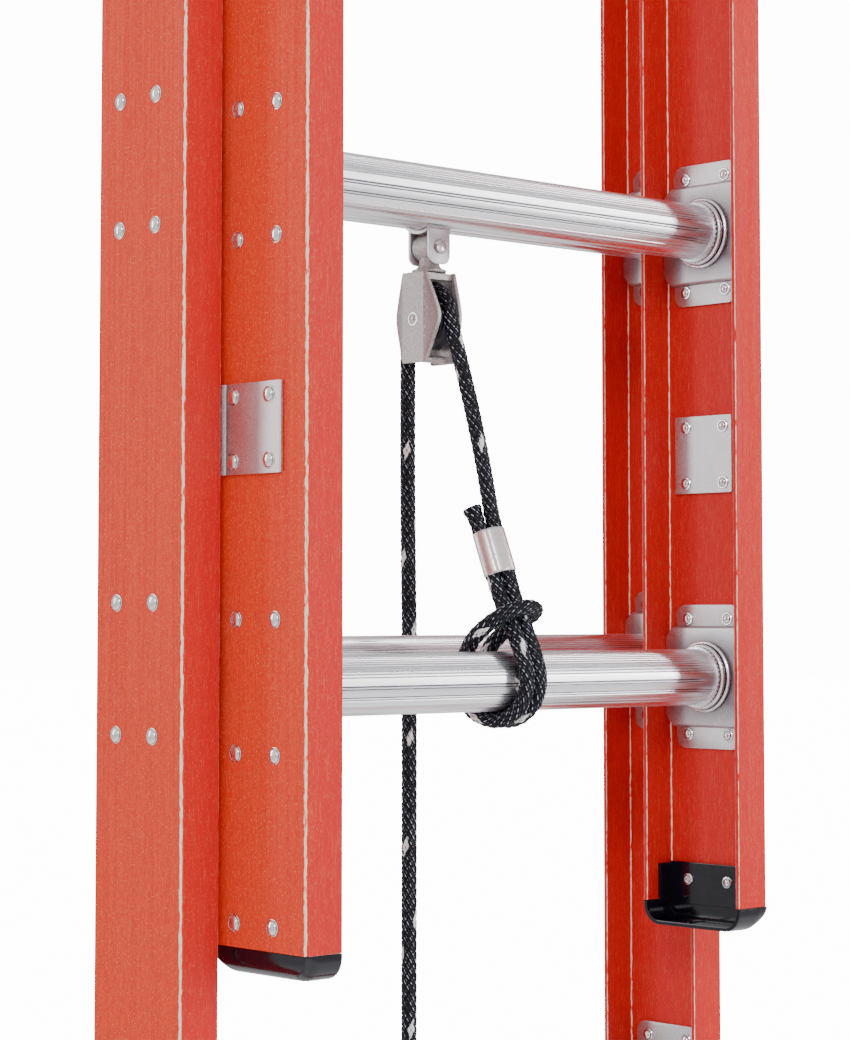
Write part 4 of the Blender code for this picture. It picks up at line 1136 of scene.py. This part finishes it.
def make_rivets():
    for section in (BASE, FLY):
        places = [(section.rung_y + dy, level + dz) for level in section.rungs
                  for dy in (-RIVET_Y, RIVET_Y) for dz in (-RIVET_Z, RIVET_Z)]
        inside = section.web - GAP - TAB
        rivet_pair(f"{section.name}_plate_rivets", section.name, places, inside, section.half)


# ---- guides and caps

GUIDE_RIVETS = [(FLY.front + y * MM, FIRST + z * MM) for y in (31.2, 65.0) for z in (132.7, 171.3)]


def add_fly_guide(cage):
    """A plate on the fly's rail that bends out behind the base's front flange."""
    back = FLY.half + GAP
    face = back + GUIDE
    rise = [FLY.front + y * MM for y in (20.6, 70.4, 75.5, 78.0)]
    corners = [
        (back, rise[0], 0.3 * MM), (face, rise[0], 0.8 * MM), (face, rise[1] + 0.8 * MM, 1.6 * MM),
        (face + 2.4 * MM, rise[2], 1.2 * MM), (222 * MM, rise[2], 0.8 * MM), (222 * MM, rise[3], 0.8 * MM),
        (face, rise[3], 1.5 * MM), (back, rise[1] + 1.6 * MM, 1.5 * MM),
    ]
    add_slab(cage, rounded(corners, 5), FIRST + 125 * MM, FIRST + 179 * MM, "Z", 0.5 * MM)


def make_guides():
    pair("fly_slide_guide", add_fly_guide, "plate_aluminium", "fly", ["fly_guide_{}"])
    inside = FLY.web - GAP
    plate = rectangle(FLY.front + 23.5 * MM, FIRST + 125.6 * MM, FLY.front + 75.2 * MM, FIRST + 179 * MM,
                      1.5 * MM)
    pair("guide_backing", lambda cage: add_slab(cage, plate, inside - GUIDE, inside), "plate_aluminium",
         "fly", ["backing_plate_{}"])
    rivet_pair("guide_rivets", "fly", GUIDE_RIVETS, inside - GUIDE, FLY.half + GAP + GUIDE)


def u_path(front, back, depth, radius, steps=7):
    """Front, round the corner, along the bottom and up the back of a tray, as (y, depth) points."""
    radius = min(radius, depth - 0.4 * MM)
    points = [(front, 0.3 * MM)]
    points += arc((front + radius, depth - radius), radius, 180, 90, steps)
    points += arc((back - radius, depth - radius), radius, 90, 0, steps)
    return points + [(back, 0.3 * MM)]


def add_tray(cage, section, level, sign, height, round_off):
    """A rail's end cap: a tray open to the ladder's middle, rounded under its outer corner."""
    shell = 3.0 * MM
    radius = 0.85 * height
    stop = section.web - 2.0 * MM

    def depth(x):
        past = max(0.0, x - (section.half - round_off))
        return height - round_off + math.sqrt(max(0.0, round_off ** 2 - past ** 2))

    def ring(x, hollow, shrink=0.0):
        outer = u_path(section.front + shrink, section.back - shrink, depth(x) - shrink, radius - shrink)
        points = [(x, y, level + sign * d) for y, d in outer]
        if hollow:
            inner = u_path(section.front + shell - shrink, section.back - shell + shrink,
                           depth(x) - shell + shrink, radius - shell + shrink)
            points += [(x, y, level + sign * d) for y, d in reversed(inner)]
        return points

    edge = 0.6 * MM
    spots = [section.edge + edge * 2]
    while spots[-1] < stop - 1.6 * MM:
        spots.append(spots[-1] + 1.6 * MM)
    rings = [ring(section.edge, True, edge), ring(section.edge + 0.3 * edge, True, 0.3 * edge)]
    rings += [ring(x, True) for x in (*spots, stop)]
    add_loft(cage, rings)
    wall = section.half - stop
    rings = [ring(stop + wall * share, False) for share in (0, 0.3, 0.6, 0.8)]
    rings += [ring(section.half - 0.3 * MM, False, 0.15 * MM), ring(section.half, False, 0.7 * MM)]
    add_loft(cage, rings)
    rib = 0.5 * (section.front + section.back) + 4 * MM
    low, high = sorted((level + sign * (height - shell - 0.5 * MM), level + sign * (height - shell + 1 * MM)))
    add_box(cage, (section.edge + 2 * MM, rib, low), (stop, rib + 1.0 * MM, high), 0.2 * MM)


def add_liner(cage, section, level, sign):
    """The cap's flat tongue inside the rail, with a lip turned in along its back flange."""
    face = section.web - GAP
    low, high = sorted((level + sign * 3 * MM, level - sign * 25.4 * MM))
    back = section.back - WALL - GAP
    outline = rectangle(section.front + WALL + GAP, low, back - 0.4 * MM, high, 0.8 * MM)
    add_slab(cage, outline, face - FITTING, face, "X")
    turned_in = rectangle(face - 14 * MM, low + 1 * MM, face - 1 * MM, high - 1 * MM, 1.0 * MM)
    add_slab(cage, turned_in, back - 2.4 * MM, back, "Y")


def make_caps():
    for section, level, sign, height, node, ys, dz in (
        (FLY, FLY.bottom, -1, 16.1 * MM, "fly_bottom_cap", (29.6, 65.0), 13.9),
        (FLY, FLY.top, 1, 17.0 * MM, "fly_top_cap", (29.6, 65.0), 14.0),
        (BASE, BASE.top, 1, 10.0 * MM, "base_top_cap", (26.0, 60.0), 12.0),
    ):
        def build(cage):
            add_tray(cage, section, level, sign, height, 0.72 * height)
            add_liner(cage, section, level, sign)

        pair(node + "_moulding", build, "black_moulding", section.name, [node + "_{}"])
        places = [(section.front + y * MM, level - sign * dz * MM) for y in ys]
        inside = section.web - GAP - FITTING
        rivet_pair(node + "_rivets", section.name, places, inside, section.half, RING_HEAD)


def add_top_guide(cage):
    """A hook at the top of the base's rail, which holds the fly's back flange."""
    low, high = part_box("top_guide_right")
    web = BASE.web - GAP
    arm = [FLY.front + y * MM for y in (76.0, 79.0, 87.4, 90.4)]
    far = BASE.front + 54.0 * MM
    lip = FLY.edge - 3.4 * MM
    corners = [
        (web, arm[2], 1.0 * MM), (web, far, 0.8 * MM), (web - FITTING, far, 0.8 * MM),
        (web - FITTING, arm[3], 1.8 * MM), (lip, arm[3], 1.8 * MM), (lip, arm[0], 1.5 * MM),
        (FLY.edge + 11 * MM, arm[0], 1.0 * MM), (FLY.edge + 11 * MM, arm[1], 1.0 * MM),
        (FLY.edge - 0.7 * MM, arm[1], 0.5 * MM), (FLY.edge - 0.7 * MM, arm[2], 0.5 * MM),
    ]
    add_slab(cage, rounded(corners, 4), low.z, high.z, "Z", 0.5 * MM)


def make_top_guides():
    low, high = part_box("top_guide_right")
    pair("top_guide_hook", add_top_guide, "plate_aluminium", "base", ["top_guide_{}"])
    places = [(BASE.front + 42 * MM, z) for z in (low.z + 10 * MM, high.z - 10 * MM)]
    rivet_pair("top_guide_rivets", "base", places, BASE.web - GAP - FITTING, BASE.half)


# ---- rung locks

PLATE_SIDE = 162.0 * MM
PLATE_EAR = PLATE_SIDE + 4 * MM
PAWL = (149.5 * MM, 157.5 * MM)
PIVOT = (LOCK_PIVOT.y, LOCK_PIVOT.z)


def lock_points(points):
    """(y, z) points in millimetres from the fly's front and the lock's rung."""
    return [(FLY.front + y * MM, LOCK_Z + z * MM) for y, z in points]


def add_lock_bracket(cage):
    """A plate on the rail, a block that stands off it, and the ear that holds the pivot."""
    web = FLY.web - GAP
    low, high, near, far = lock_points([(22.0, 57.0), (60.0, 127.0), (30.0, 92.0), (56.0, 108.0)])
    add_slab(cage, rectangle(*low, *high, 3 * MM), web - FITTING, web)
    add_box(cage, (PLATE_SIDE + 2 * MM, *near), (web - 1 * MM, *far), 0.8 * MM)
    rear = near[0] - 1.5 * MM
    ear = [(rear, near[1] - 2 * MM), *arc(PIVOT, 10 * MM, -90, 90, 16), (rear, far[1] + 2 * MM)]
    add_slab(cage, ear, PLATE_SIDE, PLATE_EAR, "X", 0.6 * MM)


def add_pawl(cage):
    """The hook that rests on the base's rung; its foot is curved about the pivot."""
    foot = arc(PIVOT, 76.7 * MM, -58, -82, 10)
    lip = arc(PIVOT, 85.5 * MM, -82, -87, 2)
    down = lock_points([(94, 62), (104, 53), (122, 48)])
    back = lock_points([(80, 32), (75, 60)])
    outline = [*arc(PIVOT, 10 * MM, 180, 0, 16), *down, *foot, *lip, *back]
    add_slab(cage, outline, *PAWL, "X", 0.7 * MM)


def add_lock_pin(cage):
    low, high = PAWL[0] - 2.3 * MM, PLATE_EAR + 1.7 * MM
    profile = [
        (3.0 * MM, low), (4.8 * MM, low + 0.5 * MM), (5.4 * MM, low + 1.2 * MM), (5.4 * MM, PAWL[0] - GAP),
        (3.4 * MM, PAWL[0] - GAP), (3.4 * MM, PLATE_EAR + GAP), (5.0 * MM, PLATE_EAR + GAP),
        (5.0 * MM, high - 0.5 * MM), (4.4 * MM, high), (0, high),
    ]
    add_turned(cage, profile, (0, *PIVOT), "X", 28)


def add_spring(cage):
    """Two turns of wire round the pivot, a leg on the pawl and one on the bracket."""
    radius, rise, wire = 6.2 * MM, 2.6 * MM, 0.55 * MM
    first = PAWL[1] + 0.95 * MM
    route = [(first, -radius, -16 * MM), (first, -radius, -8 * MM)]
    for i in range(49):
        turn = 2 * math.pi * i / 24
        route.append((first + rise * i / 48, -radius * math.cos(turn), radius * math.sin(turn)))
    route += [(first + rise, -radius, -7 * MM), (first + rise, -radius, -14 * MM)]
    path = [Vector((x, LOCK_PIVOT.y + y, LOCK_PIVOT.z + z)) for x, y, z in route]
    rings = []
    for here, (side, up) in zip(path, frames(path)):
        rings.append([here + side * (wire * c) + up * (wire * s) for c, s in circle(10)])
    add_loft(cage, rings)


def make_locks():
    pair("lock_plate", add_lock_bracket, "plate_aluminium", "fly", ["lock_bracket_{}"])
    places = lock_points([(30.0, 66.0), (30.0, 118.0), (52.0, 118.0)])
    rivet_pair("lock_rivets", "fly", places, FLY.web - GAP - FITTING, FLY.half)
    pair("lock_hook", add_pawl, "plate_aluminium", "lock_pawl_{}", ["lock_pawl_{}"])
    pair("lock_pivot", add_lock_pin, "plated_steel", "fly", ["lock_pin_{}"])
    pair("lock_coil_spring", add_spring, "plated_steel", "fly", ["lock_spring_{}"])


# ---- feet

SOLE_RIBS = 11


def add_sole(cage):
    """A rubber sole with ribs across it."""
    low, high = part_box("foot_pad_right")
    add_slab(cage, rectangle(low.x, low.y, high.x, high.y, 4 * MM, 6), 2.0 * MM, high.z, "Z", 0.8 * MM)
    width = (high.y - low.y - 4 * MM) / (2 * SOLE_RIBS - 1)
    for i in range(SOLE_RIBS):
        start = low.y + 2 * MM + 2 * i * width
        corner = (high.x - 1.5 * MM, start + width, 2.6 * MM)
        add_box(cage, (low.x + 1.5 * MM, start, 0.05 * MM), corner, 0.4 * MM)


def make_feet():
    for side, _ in SIDES:
        kept(f"foot_{side}", "foot_steel", 0.8 * MM)
        kept(f"foot_bolt_{side}", "plated_steel", 0.4 * MM)
    pair("foot_sole", add_sole, "pad_rubber", "foot_{}", ["foot_pad_{}"])


# ---- pulley

CHEEK_HALF = 14.5 * MM
CHEEK_WALL = 3.0 * MM
CHEEK_BEND = 3.6 * MM
STRIP = 10.1 * MM
RIM = 20.6 * MM
STRAP_WALL = 2.0 * MM
STRAP_LEG = 10.3 * MM


def add_cheek(cage, side):
    """A cast cheek: a flat strip down its middle and two wings that bend in towards the sheave."""
    edge = 0.55 * MM
    tall = BLOCK_HIGH.z - BLOCK_LOW.z
    centre = (BLOCK_HIGH.z + BLOCK_LOW.z) / 2

    def bend(across):
        return CHEEK_BEND * max(0.0, abs(across) - STRIP) / (RIM - STRIP)

    def ring(z, thinner):
        share = abs(z - centre) / (tall / 2)
        width = STRIP + 0.9 * MM + (RIM - STRIP) * (1.12 - 1.106 * math.hypot(share, 0.16))
        near = width - edge
        out, back = CHEEK_HALF - thinner, CHEEK_HALF - CHEEK_WALL + thinner
        half = [(0, out), (STRIP, out), (near, out - bend(near)), (width, out - bend(width) - edge)]
        half += [(width, back - bend(width) + edge), (near, back - bend(near)), (STRIP, back), (0, back)]
        whole = half + [(-across, reach) for across, reach in reversed(half[1:-1])]
        return [(AXLE.x + side * reach, BASE.rung_y + across, z) for across, reach in whole]

    rows = [BLOCK_LOW.z + edge + (tall - 2 * edge) * i / 24 for i in range(25)]
    rings = [ring(BLOCK_LOW.z, edge), *[ring(z, 0) for z in rows], ring(BLOCK_HIGH.z, edge)]
    layer = cage.verts.layers.float.get("groove") or cage.verts.layers.float.new("groove")
    # Painted shade and reflection: the outer face darkens and turns pinkish from the strip out towards each
    # wing's rim, standing in for the red rail reflected in the wings.
    for made in add_loft(cage, rings):
        for i in (2, 12):
            made[i][layer] = 0.8


def add_block(cage):
    """The block: two cheeks, the roof between them and a bar across the bottom."""
    for side in (-1, 1):
        add_cheek(cage, side)
    x, y = AXLE.x, BASE.rung_y
    inner, reach = CHEEK_HALF - 2.2 * MM, 9.6 * MM
    low, high = BLOCK_HIGH.z - 5.0 * MM, BLOCK_HIGH.z - 0.4 * MM
    add_box(cage, (x - inner, y - reach, low), (x + inner, y + reach, high), 0.5 * MM)
    add_turned(cage, [(2.6 * MM, -inner), (2.6 * MM, inner)], (x, y, BLOCK_LOW.z + 3.2 * MM), "X", 24)


def add_strap(cage):
    """The saddle under the rung and its two legs, the legs' ends rounded."""
    y, z = BASE.rung_y, BASE.rungs[6]
    low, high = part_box("pulley_strap")
    inner, ear = RUNG_RADIUS + 0.4 * MM, 42
    outer = inner + STRAP_WALL
    saddle = [*arc((y, z), outer, -90 - ear, -90 + ear, 20), *arc((y, z), inner, -90 + ear, -90 - ear, 20)]
    add_slab(cage, saddle, low.x, high.x, "X", 0.5 * MM)
    top = z - math.sqrt(outer ** 2 - STRAP_LEG ** 2) + 0.6 * MM
    leg = rounded([(low.x, top, 0.3 * MM), (low.x, low.z, 5.5 * MM), (high.x, low.z, 5.5 * MM),
                   (high.x, top, 0.3 * MM)], 8)
    for sign in (-1, 1):
        near, far = sorted((y + sign * STRAP_LEG, y + sign * (STRAP_LEG - STRAP_WALL)))
        add_slab(cage, leg, near, far, "Y", 0.4 * MM)


def add_strap_rivet(cage):
    head = [(3.0, 10.4), (5.0, 10.5), (5.0, 11.0), (4.3, 12.2), (3.0, 12.8)]
    far_head = [(3.0, -12.8), (4.3, -12.2), (5.0, -11.0), (5.0, -10.5), (3.0, -10.4)]
    cage.verts.layers.float.new("groove")
    rivet = in_metres([(0, -12.9), *far_head, *head, (0, 12.9)])
    # Painted shade on the rings at the feet of both heads.
    add_turned(cage, rivet, (AXLE.x, BASE.rung_y, PIN.z), "Y", 28, 1, (4, 7))


def add_swivel_eye(cage):
    """A barrel round the strap's rivet and the collar under it that the block turns in."""
    barrel = [(7.8, -7.6), (8.6, -7.2), (8.8, -6.6), (8.8, 6.6), (8.6, 7.2), (7.8, 7.6)]
    add_turned(cage, in_metres(barrel), (AXLE.x, BASE.rung_y, PIN.z), "Y", 48)
    stem = [(6.8, -4.6), (6.8, -2.8), (4.0, -2.8), (4.0, 0.3), (11.1, 0.3), (11.5, 0.7)]
    stem += [(11.5, 1.7), (11.1, 2.1), (8.4, 3.0), (7.0, 5.2), (6.4, 9.0), (6.0, 10.3)]
    add_turned(cage, in_metres(stem), (AXLE.x, BASE.rung_y, BLOCK_HIGH.z), "Z", 48)


def add_axle(cage):
    end = in_metres([(0, 1.1), (1.8, 0.8), (2.7, 0.1), (2.9, -0.3), (3.3, -0.3), (3.6, 0.35), (4.3, 0.35),
                     (4.7, -0.2)])
    axle = [(radius, -CHEEK_HALF - height) for radius, height in end]
    axle += [(radius, CHEEK_HALF + height) for radius, height in reversed(end)]
    cage.verts.layers.float.new("groove")
    # Painted shade: a dark ring in the recess at each end.
    add_turned(cage, axle, (AXLE.x, BASE.rung_y, AXLE.z), "X", 32, 1, (3, 4, 11, 12))


def add_sheave(cage):
    """The grooved wheel, its sides dished between hub and rim."""
    side = in_metres([(4.2, -6.6), (7.0, -6.6), (7.6, -5.9), (16.2, -5.9), (16.8, -6.6), (19.2, -6.6),
                      (19.6, -6.2), (19.4, -5.4)])
    floor, deep, wide = ROPE_WRAP - ROPE - GAP, 3.2 * MM, 4.6 * MM
    turns = [math.radians(a) for a in range(-80, 81, 20)]
    outline = side + [(floor + deep * (1 - math.cos(a)), wide * math.sin(a)) for a in turns]
    outline += [(r, -h) for r, h in reversed(side)]
    turn, centre = laid("X"), Vector((AXLE.x, BASE.rung_y, AXLE.z))
    rings = [[centre + turn @ Vector((r * c, r * s, h)) for r, h in outline] for c, s in circle(72)]
    add_loft(cage, rings, cyclic=True)


def make_pulley():
    single("pulley_shell", add_block, "galvanised_steel", "pulley_block", ["pulley_block"], 12)
    single("pulley_strap_plate", add_strap, "plate_aluminium", "base", ["pulley_strap"])
    single("strap_rivet", add_strap_rivet, "plated_steel", "base", ["strap_pin"])
    single("swivel_eye", add_swivel_eye, "galvanised_steel", "pulley_eye", ["pulley_eye"])
    single("sheave_axle_pin", add_axle, "plated_steel", "pulley_block", ["sheave_axle"])
    single("sheave_wheel", add_sheave, "sheave_plastic", "sheave", ["sheave"])


# ---- assembly

make_camera()
make_rope()
make_eye()
make_studio()
make_rails()
make_rungs()
make_rivets()
make_guides()
make_caps()
make_top_guides()
make_locks()
make_feet()
make_pulley()
